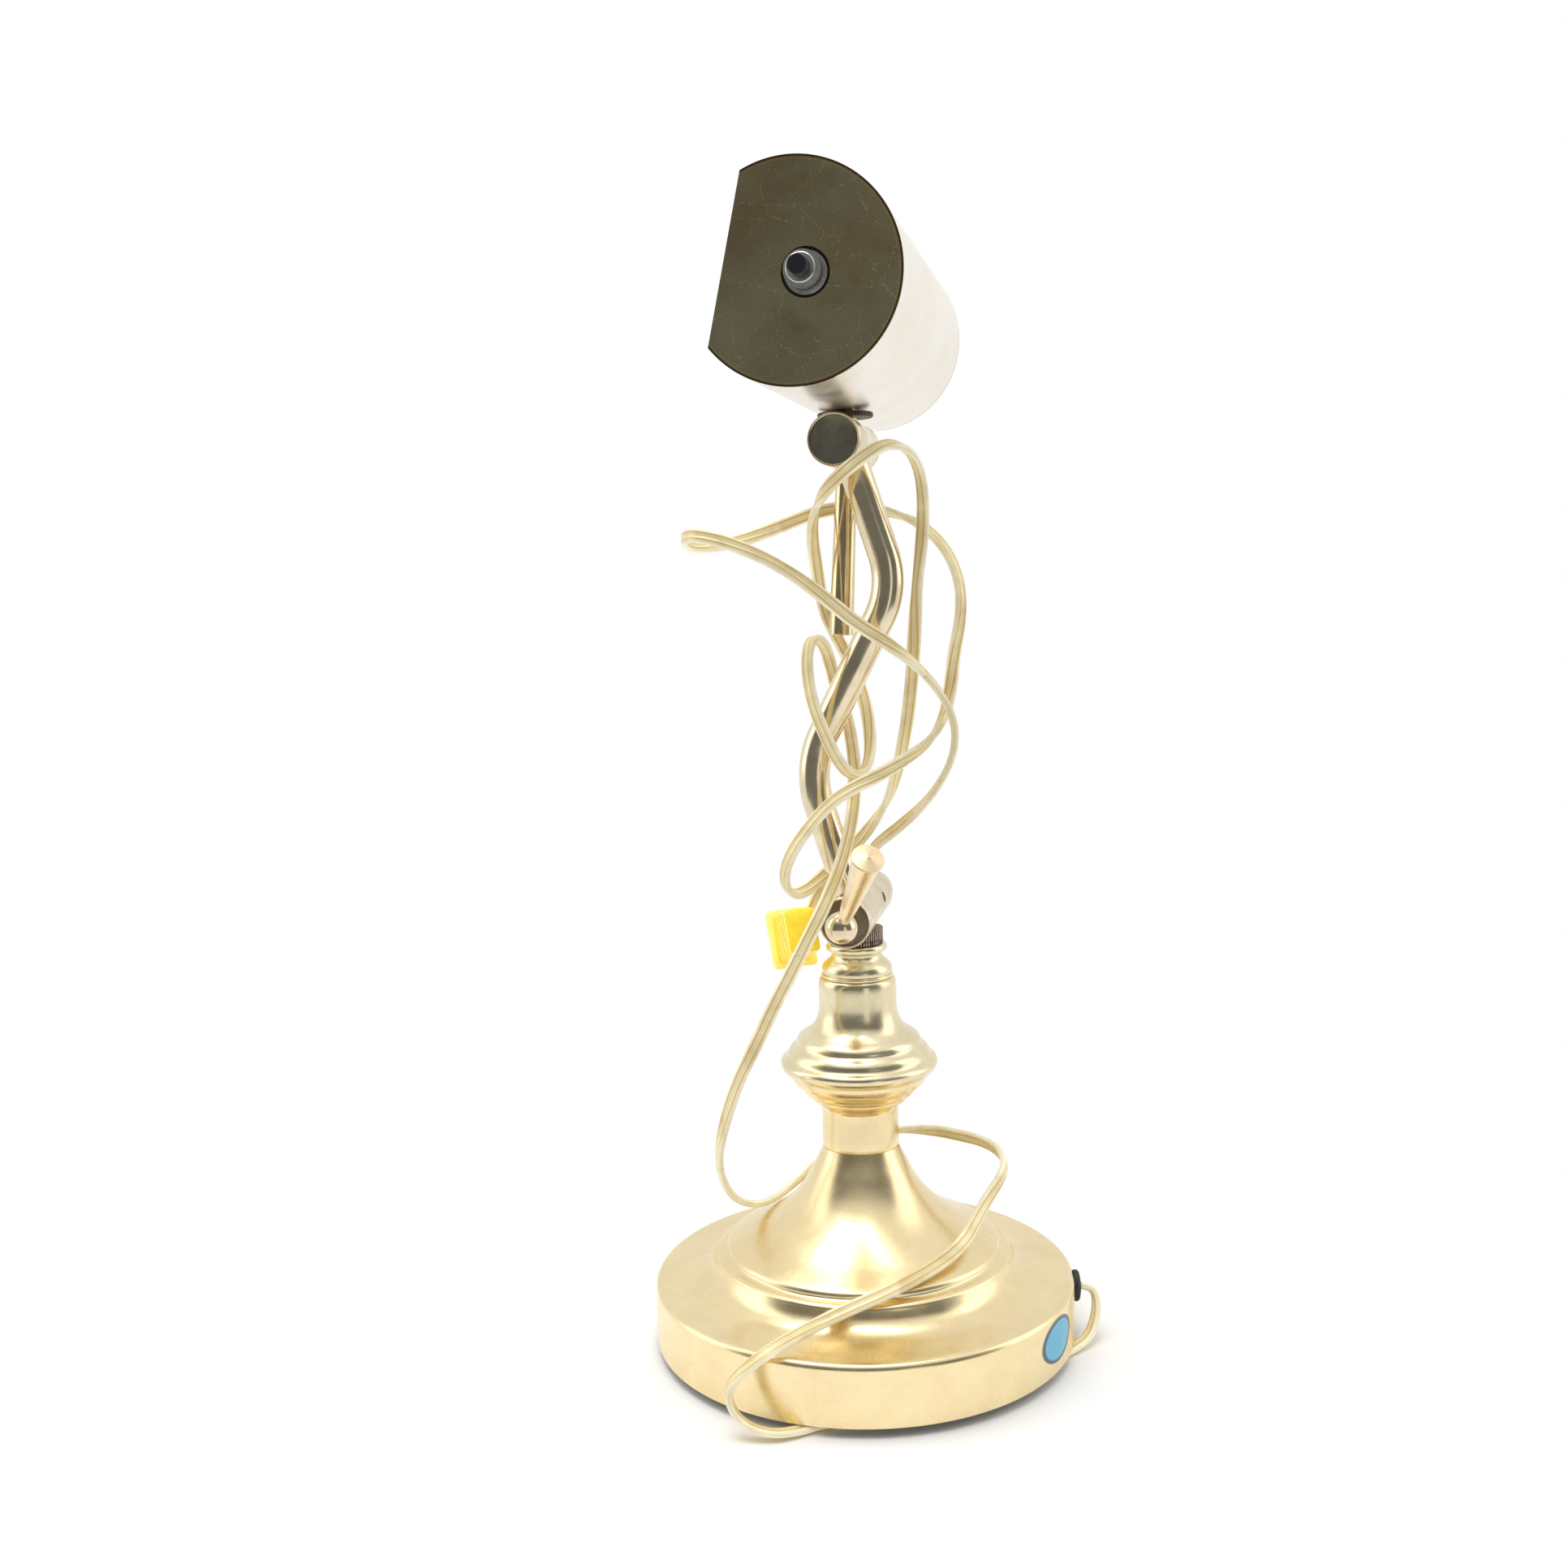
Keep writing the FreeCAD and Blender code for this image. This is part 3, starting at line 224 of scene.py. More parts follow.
ROLL = roll_angles()
WIDE = PN * np.cos(ROLL)[:, None] + PB * np.sin(ROLL)[:, None]
THIN = np.cross(TAN, WIDE)


def section():
    """The flat cord's outline: two round cores side by side with a groove between them, as (across, up) points."""
    c = CORD_W / 2 - CORD_R
    pts = []
    for k in range(9):
        a = math.radians(-118 + 236 * k / 8)
        pts.append((c + CORD_R * math.cos(a), CORD_R * math.sin(a)))
    pts.append((0.0, 0.00088))
    for k in range(9):
        a = math.radians(62 + 236 * k / 8)
        pts.append((-c + CORD_R * math.cos(a), CORD_R * math.sin(a)))
    pts.append((0.0, -0.00088))
    return pts


def at_run(k):
    """Index on the line at the middle of the route's run k."""
    m = (RT[k] + RT[k + 1]) / 2
    return int(np.argmin(np.linalg.norm(LINE - m, axis=1)))


def mesh_object(name, verts, faces, smooth=True, uvs=None):
    m = bpy.data.meshes.new(name)
    m.from_pydata([tuple(v) for v in verts], [], faces)
    if uvs is not None:
        layer = m.uv_layers.new(name="UVMap")
        flat = [c for uv in uvs for c in uv]
        layer.data.foreach_set("uv", flat)
    m.update()
    o = bpy.data.objects.new(name, m)
    scene.collection.objects.link(o)
    if smooth:
        m.polygons.foreach_set("use_smooth", [True] * len(m.polygons))
    return o


def cord_mesh(name, lo, hi):
    """A stretch of the flat cord between two indices of the line, closed at its ends, with across and along in its UV map."""
    sec = section()
    n = len(sec)
    verts, faces, uvs = [], [], []
    for i in range(lo, hi + 1):
        for x, y in sec:
            verts.append(LINE[i] + WIDE[i] * x + THIN[i] * y)
    us = [0.5 + x / CORD_W for x, y in sec]
    for i in range(hi - lo):
        for k in range(n):
            a, b = i * n + k, i * n + (k + 1) % n
            faces.append((a, b, b + n, a + n))
            va, vb = STEP[lo + i] / 0.02, STEP[lo + i + 1] / 0.02
            uvs += [(us[k], va), (us[(k + 1) % n], va), (us[(k + 1) % n], vb), (us[k], vb)]
    faces.append(tuple(range(n - 1, -1, -1)))
    uvs += [(us[k], STEP[lo] / 0.02) for k in range(n - 1, -1, -1)]
    base = (hi - lo) * n
    faces.append(tuple(base + k for k in range(n)))
    uvs += [(us[k], STEP[hi] / 0.02) for k in range(n)]
    o = mesh_object(name, verts, faces, uvs=uvs)
    if o.data.polygons[0].normal.dot(o.data.polygons[0].center - Vector(LINE[lo])) < 0:
        o.data.flip_normals()
    return o


last = len(LINE) - 1
CUTS = {
    "cord_over_base": (0, at_run(39)),
    "cord_rise_stem": (at_run(39), at_run(45)),
    "cord_rise_knuckle": (at_run(45), at_run(51)),
    "cord_arm_loops": (at_run(51), at_run(129)),
    "cord_to_plug": (at_run(129), last),
}
STANDS_FOR = {
    "cord_over_base": ("cord_floor_run", "cord_base_wrap"),
    "cord_rise_stem": ("cord_rise",),
    "cord_rise_knuckle": (),
    "cord_arm_loops": ("cord_small_loop", "cord_right_strand", "cord_left_loop", "cord_right_loop", "cord_back_strand",
                       "cord_front_strand"),
    "cord_to_plug": ("cord_plug_end",),
}
cords = {}
for name, (lo, hi) in CUTS.items():
    o = cord_mesh(name, lo, hi)
    cords[name] = o
    if STANDS_FOR[name]:
        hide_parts(*STANDS_FOR[name])


# ------------------------------------------------------------------ mesh helpers
def smooth_profile(pts, sub=4, corner=38.0):
    """Rounds a lathe profile between its corners: points joined at a shallow angle get a smooth curve through them."""
    p = [np.array(q, float) for q in pts]
    n = len(p)
    sharp = [True] * n
    for i in range(1, n - 1):
        a, b = unit(p[i] - p[i - 1]), unit(p[i + 1] - p[i])
        sharp[i] = math.degrees(math.acos(max(-1, min(1, float(a @ b))))) > corner
    out = [p[0]]
    for i in range(n - 1):
        if sharp[i] and sharp[i + 1]:
            out.append(p[i + 1])
            continue
        a = p[i - 1] if not sharp[i] else p[i] * 2 - p[i + 1]
        d = p[i + 2] if not sharp[i + 1] else p[i + 1] * 2 - p[i]
        t0 = 0.0
        t1 = t0 + max(np.linalg.norm(p[i] - a), 1e-9) ** 0.5
        t2 = t1 + max(np.linalg.norm(p[i + 1] - p[i]), 1e-9) ** 0.5
        t3 = t2 + max(np.linalg.norm(d - p[i + 1]), 1e-9) ** 0.5
        for k in range(1, sub + 1):
            t = t1 + (t2 - t1) * k / sub
            A1 = (t1 - t) / (t1 - t0) * a + (t - t0) / (t1 - t0) * p[i]
            A2 = (t2 - t) / (t2 - t1) * p[i] + (t - t1) / (t2 - t1) * p[i + 1]
            A3 = (t3 - t) / (t3 - t2) * p[i + 1] + (t - t2) / (t3 - t2) * d
            B1 = (t2 - t) / (t2 - t0) * A1 + (t - t0) / (t2 - t0) * A2
            B2 = (t3 - t) / (t3 - t1) * A2 + (t - t1) / (t3 - t1) * A3
            out.append((t2 - t) / (t2 - t1) * B1 + (t - t1) / (t2 - t1) * B2)
    return out


def place(at=(0, 0, 0), axis=(0, 0, 1)):
    z = Vector(axis).normalized()
    x = Vector((0, 0, 1)).cross(z)
    x = Vector((1, 0, 0)) if x.length < 1e-6 else x.normalized()
    y = z.cross(x)
    return Matrix.Translation(Vector(at)) @ Matrix((x, y, z)).transposed().to_4x4()


def sharpen(o, angle=32.0):
    o.data.polygons.foreach_set("use_smooth", [True] * len(o.data.polygons))
    o.data.set_sharp_from_angle(angle=math.radians(angle))


def lathe(name, profile, at=(0, 0, 0), axis=(0, 0, 1), segments=128, sub=4, corner=38.0, sharp=30.0, close=True):
    """A turned piece from a profile of (radius, height) points in millimetres."""
    prof = smooth_profile(profile, sub, corner) if sub > 1 else [np.array(q, float) for q in profile]
    m = place([c * MM for c in at], axis)
    bm = bmesh.new()
    rings = []
    for r, z in prof:
        r = max(r, 0.0)
        if r < 1e-6:
            rings.append([bm.verts.new(m @ Vector((0, 0, z * MM)))])
        else:
            rings.append([bm.verts.new(m @ Vector((r * MM * math.cos(2 * math.pi * k / segments),
                                                   r * MM * math.sin(2 * math.pi * k / segments), z * MM)))
                          for k in range(segments)])
    pairs = list(zip(rings[:-1], rings[1:]))
    if close and len(rings[0]) > 1 and len(rings[-1]) > 1:
        pairs.append((rings[-1], rings[0]))
    for a, b in pairs:
        if len(a) == 1 and len(b) == 1:
            continue
        for k in range(segments):
            j = (k + 1) % segments
            if len(a) == 1:
                bm.faces.new((a[0], b[j], b[k]))
            elif len(b) == 1:
                bm.faces.new((a[k], a[j], b[0]))
            else:
                bm.faces.new((a[k], a[j], b[j], b[k]))
    bmesh.ops.recalc_face_normals(bm, faces=bm.faces)
    me = bpy.data.meshes.new(name)
    bm.to_mesh(me)
    bm.free()
    o = bpy.data.objects.new(name, me)
    scene.collection.objects.link(o)
    sharpen(o, sharp)
    return o


# ------------------------------------------------------------------ turned pieces, finer than the CAD's straight runs
TURNED = {
    "base_turned": ("base_shell", [
        (89.0, 4.0), (89.0, 26.2), (88.9, 27.1), (88.5, 28.0), (87.8, 28.7), (86.9, 29.0), (82.0, 29.2), (76.5, 29.7),
        (72.0, 30.4), (68.6, 31.5), (65.9, 33.2), (64.0, 35.4), (62.9, 37.8), (62.3, 39.4), (61.0, 40.2),
        (59.3, 40.5), (58.2, 41.2), (57.9, 42.4), (57.3, 43.4), (56.0, 44.2), (52.0, 46.2), (46.5, 49.0),
        (41.0, 52.3), (36.0, 55.8), (31.6, 59.6), (28.0, 63.5), (24.9, 67.7), (22.3, 72.0), (20.2, 76.0),
        (18.4, 79.4), (17.1, 82.0), (16.3, 83.8), (15.9, 84.8), (5.3, 84.8), (5.3, 83.6), (15.0, 83.6),
        (16.0, 81.2), (19.1, 75.2), (23.9, 67.0), (30.7, 58.7), (40.3, 51.3), (51.5, 45.1), (56.3, 42.6),
        (56.8, 40.6), (60.8, 38.9), (62.9, 34.7), (65.0, 32.2), (71.8, 29.3), (76.3, 28.6), (86.6, 27.8),
        (87.8, 26.2), (87.8, 4.0)]),
    "collar_turned": ("stem_collar", [
        (5.3, 84.8), (15.6, 84.8), (16.0, 85.4), (16.1, 100.6), (16.5, 102.2), (17.6, 103.6), (19.6, 105.0),
        (20.4, 105.9), (20.7, 106.9), (22.2, 107.7), (23.6, 108.9), (24.3, 110.2), (25.2, 111.0), (26.8, 112.2),
        (28.0, 113.9), (28.7, 115.8), (28.8, 117.0), (27.4, 117.0), (27.2, 115.6), (26.6, 114.4), (25.6, 113.3),
        (23.0, 111.6), (22.0, 109.7), (20.4, 108.8), (19.0, 107.2), (17.0, 105.8), (15.0, 103.4), (14.6, 101.0),
        (14.6, 86.4), (5.3, 86.4)]),
    "vase_turned": ("stem_vase", [
        (25.0, 117.1), (30.2, 117.1), (31.6, 118.2), (32.7, 119.7), (33.0, 121.0), (32.8, 122.0), (32.0, 123.0),
        (30.9, 123.6), (30.1, 124.6), (29.6, 126.1), (28.6, 127.5), (27.2, 128.6), (26.3, 129.6), (26.0, 130.9),
        (25.2, 132.2), (23.9, 133.2), (21.9, 134.4), (20.0, 135.9), (18.6, 137.6), (17.5, 139.6), (16.8, 141.8),
        (16.4, 144.4), (16.25, 148.0), (16.25, 154.2), (16.0, 156.2), (15.4, 157.3), (14.6, 157.6), (5.3, 157.6),
        (5.3, 156.0), (14.2, 156.0), (14.7, 154.4), (14.75, 144.2), (15.3, 141.2), (16.2, 138.6), (17.6, 136.2),
        (19.6, 134.0), (22.0, 132.5), (24.2, 130.6), (25.2, 127.8), (27.6, 126.2), (28.6, 123.8), (29.6, 122.0),
        (29.8, 120.2), (28.4, 118.8), (25.0, 118.8)]),
    "neck_turned": ("neck_ring", [
        (5.08, 157.6), (14.4, 157.6), (14.8, 157.8), (15.0, 158.2), (15.0, 158.8), (14.8, 159.1), (14.3, 159.3),
        (14.6, 159.8), (14.75, 160.6), (14.6, 161.8), (14.0, 163.1), (12.9, 164.3), (11.6, 165.3), (10.8, 166.3),
        (10.5, 167.2), (10.7, 168.0), (11.4, 168.6), (12.2, 168.9), (12.6, 169.3), (12.75, 169.9), (12.75, 170.7), (12.4, 171.4),
        (11.6, 171.8), (5.08, 171.8)]),
}
turned = {}
for name, (node, profile) in TURNED.items():
    o = lathe(name, profile, segments=192, sub=5, corner=46.0, sharp=38.0)
    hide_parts(node)
    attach(o, "stand")
    turned[name] = o

lever_dir = unit(np.array([15.9, -29.6, 32.8]))
lever_top = np.array([0.0, -34.5, 185.4]) + lever_dir * 46.6
cap = lathe("lever_cone", [(0, 0), (6.3, 0), (6.45, 0.25), (6.45, 0.7), (6.2, 1.0), (1.0, 2.15), (0.4, 2.35), (0, 2.42)],
            at=tuple(lever_top), axis=tuple(lever_dir), segments=96, sub=4, corner=30.0, sharp=24.0)
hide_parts("lever_cap")
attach(cap, "clamp")

# ------------------------------------------------------------------ plug: bevelled face plate and a tapered, ribbed grip
PA = unit(np.array([0.42, -0.83, 0.36]))
PX = np.array([0.884, 0.466, 0.047])
PX = unit(PX - PA * (PX @ PA))
PY = np.cross(PA, PX)
PLUG_AT = np.array([-32.3, 19.0, 168.5])


def round_box_ring(half_w, half_t, z, corner=1.8, per=5):
    """One closed outline, a rectangle with rounded corners, across the plug's axis at height z."""
    pts = []
    for cx, cy, start in ((1, 1, 0), (-1, 1, 90), (-1, -1, 180), (1, -1, 270)):
        for k in range(per):
            a = math.radians(start + 90 * k / (per - 1))
            x = cx * (half_w - corner) + corner * math.cos(a)
            y = cy * (half_t - corner) + corner * math.sin(a)
            pts.append((PLUG_AT + PX * x + PY * y + PA * z) * MM)
    return pts


rings, kinds = [], []
for hw, ht, z, kind in ((9.3, 12.3, 0.0, 1), (9.8, 12.8, 0.5, 1), (9.8, 12.8, 2.7, 1), (9.3, 12.3, 3.2, 1), (7.7, 10.7, 3.25, 0)):
    rings.append(round_box_ring(hw, ht, z))
    kinds.append(kind)
for k in range(6):
    z = 4.4 + 2.7 * k
    w, t = 7.6 - 0.05 * z, 10.6 - 0.06 * z
    for dz, d, kind in ((0.0, 0.0, 0), (0.25, -0.45, 2), (0.95, -0.45, 2), (1.2, 0.0, 0)):
        rings.append(round_box_ring(w + d, t + d, z + dz))
        kinds.append(kind)
rings += [round_box_ring(6.6, 9.4, 21.4), round_box_ring(6.0, 8.8, 22.0), round_box_ring(3.0, 4.6, 22.4)]
kinds += [0, 0, 0]
per_ring = len(rings[0])
pv = [p for r in rings for p in r]
pf, pm = [], []
for i in range(len(rings) - 1):
    for k in range(per_ring):
        j = (k + 1) % per_ring
        pf.append((i * per_ring + k, i * per_ring + j, (i + 1) * per_ring + j, (i + 1) * per_ring + k))
        pm.append(kinds[i + 1] if kinds[i + 1] == 2 else kinds[i])
pf.append(tuple(range(per_ring - 1, -1, -1)))
pm.append(1)
pf.append(tuple((len(rings) - 1) * per_ring + k for k in range(per_ring)))
pm.append(0)
end = RT[-1] / MM
into = unit(RT[-1] - RT[-2])
ax = unit(np.cross(into, [0.0, 0.0, 1.0]))
ay = np.cross(into, ax)
b0 = len(pv)
for r, d in ((1.9, -1.2), (2.7, -0.9), (3.2, 1.0), (3.6, 4.0), (3.6, 6.5)):
    for k in range(24):
        a = 2 * math.pi * k / 24
        pv.append((end + into * d + ax * r * 1.15 * math.cos(a) + ay * r * math.sin(a)) * MM)
for i in range(4):
    for k in range(24):
        j = (k + 1) % 24
        pf.append((b0 + i * 24 + k, b0 + i * 24 + j, b0 + (i + 1) * 24 + j, b0 + (i + 1) * 24 + k))
        pm.append(0)
for i in (0, 4):
    pf.append(tuple(b0 + i * 24 + k for k in range(24)))
    pm.append(0)
plug = mesh_object("plug_grip", pv, pf)
pbm = bmesh.new()
pbm.from_mesh(plug.data)
bmesh.ops.recalc_face_normals(pbm, faces=pbm.faces)
pbm.to_mesh(plug.data)
pbm.free()
sharpen(plug, 40)
plug.data.polygons.foreach_set("material_index", pm)
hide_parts("plug_body")
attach(plug, "stem_head")

# ------------------------------------------------------------------ materials
def material(name):
    m = bpy.data.materials.new(name)
    m.use_nodes = True
    nt = m.node_tree
    nt.nodes.clear()
    out = nt.nodes.new("ShaderNodeOutputMaterial")
    b = nt.nodes.new("ShaderNodeBsdfPrincipled")
    nt.links.new(b.outputs[0], out.inputs[0])
    return m, nt, b, out


def noise(nt, scale, detail=4.0, rough=0.55, vec=None, distort=0.0):
    n = nt.nodes.new("ShaderNodeTexNoise")
    n.inputs["Scale"].default_value = scale
    n.inputs["Detail"].default_value = detail
    n.inputs["Roughness"].default_value = rough
    n.inputs["Distortion"].default_value = distort
    if vec is not None:
        nt.links.new(vec, n.inputs["Vector"])
    return n.outputs["Fac"]


def coords(nt, scale=(1, 1, 1)):
    t = nt.nodes.new("ShaderNodeTexCoord")
    if scale == (1, 1, 1):
        return t.outputs["Object"]
    mp = nt.nodes.new("ShaderNodeMapping")
    mp.inputs["Scale"].default_value = scale
    nt.links.new(t.outputs["Object"], mp.inputs["Vector"])
    return mp.outputs["Vector"]


def ramp(nt, fac, stops):
    r = nt.nodes.new("ShaderNodeValToRGB")
    while len(r.color_ramp.elements) < len(stops):
        r.color_ramp.elements.new(0.5)
    for e, (p, c) in zip(r.color_ramp.elements, stops):
        e.position = p
        e.color = (*c, 1.0) if len(c) == 3 else c
    nt.links.new(fac, r.inputs[0])
    return r.outputs[0]


def mix(nt, fac, a, b, kind="MIX"):
    n = nt.nodes.new("ShaderNodeMix")
    n.data_type = "RGBA"
    n.blend_type = kind
    for s, v in ((n.inputs[0], fac), (n.inputs[6], a), (n.inputs[7], b)):
        if isinstance(v, (int, float)):
            s.default_value = v
        elif isinstance(v, tuple):
            s.default_value = (*v, 1.0)
        else:
            nt.links.new(v, s)
    return n.outputs[2]


def math_node(nt, op, a, b=0.5, c=None, clamp=False):
    n = nt.nodes.new("ShaderNodeMath")
    n.operation = op
    n.use_clamp = clamp
    for s, v in zip(n.inputs, (a, b, c)):
        if v is None:
            continue
        if isinstance(v, (int, float)):
            s.default_value = v
        else:
            nt.links.new(v, s)
    return n.outputs[0]


def bump(nt, b, height, strength=0.1, dist=0.0002):
    n = nt.nodes.new("ShaderNodeBump")
    n.inputs["Strength"].default_value = strength
    n.inputs["Distance"].default_value = dist
    nt.links.new(height, n.inputs["Height"])
    nt.links.new(n.outputs[0], b.inputs["Normal"])


def scratches(nt, scale=(900, 60, 60), thin=0.012, seed=0.0):
    """Fine, long marks: a stretched Voronoi's cell edges, kept only where a coarse noise lets them through."""
    v = nt.nodes.new("ShaderNodeTexVoronoi")
    v.feature = "DISTANCE_TO_EDGE"
    v.inputs["Scale"].default_value = 1.0
    mp = nt.nodes.new("ShaderNodeMapping")
    mp.inputs["Scale"].default_value = scale
    mp.inputs["Rotation"].default_value = (0.5 + seed, 0.9 - seed, 0.3 + seed)
    t = nt.nodes.new("ShaderNodeTexCoord")
    nt.links.new(t.outputs["Object"], mp.inputs["Vector"])
    nt.links.new(mp.outputs["Vector"], v.inputs["Vector"])
    line = math_node(nt, "LESS_THAN", v.outputs["Distance"], thin)
    keep = math_node(nt, "GREATER_THAN", noise(nt, 90, 2), 0.56)
    return math_node(nt, "MULTIPLY", line, keep)


def brass(name, base=(0.90, 0.72, 0.38), dark=(0.62, 0.44, 0.18), rough=0.12, rough_add=0.16, speck=0.5, cloud=45.0,
          grain=2600.0, wave=0.0, tarnish=0.35):
    """Lacquered brass: warm metal with cloudy tarnish, fine dark specks and uneven roughness."""
    m, nt, b, out = material(name)
    b.inputs["Metallic"].default_value = 1.0
    c = coords(nt)
    cloud_n = noise(nt, cloud, 6, 0.62, c, 0.4)
    tone = ramp(nt, cloud_n, [(0.30, tuple(a * (1 - tarnish) + d * tarnish for a, d in zip(base, dark))), (0.62, base)])
    fine = noise(nt, grain, 3, 0.7, c)
    specks = ramp(nt, fine, [(0.0, (1, 1, 1)), (0.64, (1, 1, 1)), (0.74, (1 - speck,) * 3)])
    tone = mix(nt, 1.0, tone, specks, "MULTIPLY")
    nt.links.new(tone, b.inputs["Base Color"])
    r = ramp(nt, noise(nt, cloud * 1.7, 5, 0.6, c, 0.2), [(0.34, (rough,) * 3), (0.70, (rough + rough_add,) * 3)])
    nt.links.new(r, b.inputs["Roughness"])
    h = noise(nt, 240.0, 3, 0.5, c)
    bump(nt, b, math_node(nt, "ADD", math_node(nt, "MULTIPLY", fine, 0.25), h), 0.06 + wave, 0.0002)
    return m


def plain_metal(name, base, rough, grain=1500.0):
    m, nt, b, out = material(name)
    b.inputs["Metallic"].default_value = 1.0
    c = coords(nt)
    nt.links.new(ramp(nt, noise(nt, grain, 3, 0.6, c), [(0.3, tuple(v * 0.75 for v in base)), (0.7, base)]), b.inputs["Base Color"])
    nt.links.new(ramp(nt, noise(nt, 120, 4, 0.6, c), [(0.3, (rough,) * 3), (0.7, (rough + 0.12,) * 3)]), b.inputs["Roughness"])
    bump(nt, b, noise(nt, grain, 2, 0.5, c), 0.05)
    return m


def plastic(name, base, rough=0.4, spread=0.85, coat=0.0, transmission=0.0, ior=1.5, subsurface=0.0):
    m, nt, b, out = material(name)
    c = coords(nt)
    nt.links.new(ramp(nt, noise(nt, 160, 4, 0.6, c), [(0.3, tuple(v * spread for v in base)), (0.7, base)]), b.inputs["Base Color"])
    nt.links.new(ramp(nt, noise(nt, 300, 3, 0.6, c), [(0.3, (rough,) * 3), (0.7, (min(1, rough + 0.12),) * 3)]), b.inputs["Roughness"])
    b.inputs["Coat Weight"].default_value = coat
    b.inputs["Transmission Weight"].default_value = transmission
    b.inputs["IOR"].default_value = ior
    b.inputs["Subsurface Weight"].default_value = subsurface
    b.inputs["Subsurface Scale"].default_value = 0.003
    bump(nt, b, noise(nt, 900, 2, 0.5, c), 0.05)
    return m


M = {}
M["base"] = brass("brass_base", (0.92, 0.77, 0.46), (0.76, 0.58, 0.32), 0.22, 0.10, 0.28, 60, 1500, 0.0, 0.40)
M["wall"] = M["base"]
M["stem"] = brass("brass_stem", (0.87, 0.77, 0.52), (0.62, 0.52, 0.30), 0.20, 0.12, 0.35, 90, 1900, 0.0, 0.45)
M["arm"] = brass("brass_champagne", (0.86, 0.75, 0.52), (0.62, 0.50, 0.32), 0.13, 0.10, 0.3, 80, 1900, 0.0, 0.45)
M["mirror"] = brass("brass_mirror", (0.84, 0.72, 0.50), (0.54, 0.40, 0.26), 0.12, 0.10, 0.3, 120, 2200, 0.0, 0.5)
M["shade"] = brass("brass_shade", (0.98, 0.94, 0.86), (0.90, 0.80, 0.62), 0.26, 0.12, 0.06, 26, 1200, 0.0, 0.5)
M["raw"] = brass("brass_raw", (0.80, 0.64, 0.36), (0.5, 0.36, 0.18), 0.25, 0.2, 0.3)
M["ring"] = plain_metal("ring_black", (0.10, 0.075, 0.06), 0.35)
M["nickel"] = plain_metal("nickel", (0.72, 0.71, 0.68), 0.22)
M["steel"] = plain_metal("steel", (0.45, 0.45, 0.45), 0.35)
M["iron"] = plain_metal("iron", (0.16, 0.16, 0.17), 0.6)
M["shaft"] = plastic("shaft_black", (0.012, 0.013, 0.017), 0.28)
M["felt"] = plastic("felt", (0.03, 0.045, 0.035), 0.95, 0.5)
M["rubber"] = plastic("grommet_black", (0.02, 0.018, 0.016), 0.5)
M["phenolic"] = plastic("phenolic", (0.05, 0.04, 0.03), 0.35)
M["washer"] = plastic("washer", (0.7, 0.68, 0.62), 0.5)
M["leads"] = plastic("leads", (0.75, 0.68, 0.45), 0.45)
M["matte"] = brass("brass_matte", (0.90, 0.72, 0.46), (0.80, 0.60, 0.34), 0.36, 0.12, 0.2, 80, 1800)


def cord_material():
    """Clear gold vinyl over two stranded copper cores: stripes across the cord from its own UV map, and a faint glow in
    the same colours that is painted light.
    """
    m, nt, b, out = material("cord_vinyl")
    uv = nt.nodes.new("ShaderNodeUVMap")
    uv.uv_map = "UVMap"
    sep = nt.nodes.new("ShaderNodeSeparateXYZ")
    nt.links.new(uv.outputs[0], sep.inputs[0])
    across, along = sep.outputs[0], sep.outputs[1]
    # the strands' lay wobbles the stripes a little
    wob = noise(nt, 60, 3, 0.6, coords(nt))
    side = math_node(nt, "ABSOLUTE", math_node(nt, "SUBTRACT", across, 0.5), 0)
    side = math_node(nt, "ADD", side, math_node(nt, "MULTIPLY", math_node(nt, "SUBTRACT", wob, 0.5), 0.06))
    tone = ramp(nt, side, [(0.0, (0.97, 0.90, 0.62)), (0.05, (0.86, 0.72, 0.36)), (0.09, (0.98, 0.91, 0.60)),
                           (0.17, (0.84, 0.66, 0.28)), (0.24, (0.50, 0.33, 0.13)), (0.30, (0.86, 0.69, 0.31)),
                           (0.38, (0.98, 0.90, 0.58)), (0.46, (0.99, 0.95, 0.78)), (0.50, (0.90, 0.84, 0.62))])
    tw = nt.nodes.new("ShaderNodeTexWave")
    tw.wave_type = "BANDS"
    tw.inputs["Scale"].default_value = 3.0
    tw.inputs["Distortion"].default_value = 3.0
    comb = nt.nodes.new("ShaderNodeCombineXYZ")
    nt.links.new(math_node(nt, "MULTIPLY", across, 3.0), comb.inputs[0])
    nt.links.new(along, comb.inputs[1])
    nt.links.new(comb.outputs[0], tw.inputs["Vector"])
    tone = mix(nt, math_node(nt, "MULTIPLY", tw.outputs["Fac"], 0.35), tone, (0.95, 0.82, 0.50))
    blotch = ramp(nt, noise(nt, 34, 3, 0.6, coords(nt), 0.5), [(0.36, (0.80, 0.74, 0.62)), (0.55, (1, 1, 1))])
    tone = mix(nt, 1.0, tone, blotch, "MULTIPLY")
    nt.links.new(tone, b.inputs["Base Color"])
    b.inputs["Roughness"].default_value = 0.26
    b.inputs["Coat Weight"].default_value = 0.5
    b.inputs["Coat Roughness"].default_value = 0.12
    # faint emission in the cord's own colours: painted light, the cord gives off none
    b.inputs["Emission Strength"].default_value = 0.13
    nt.links.new(tone, b.inputs["Emission Color"])
    bump(nt, b, noise(nt, 500, 3, 0.5, coords(nt)), 0.12, 0.0002)
    return m


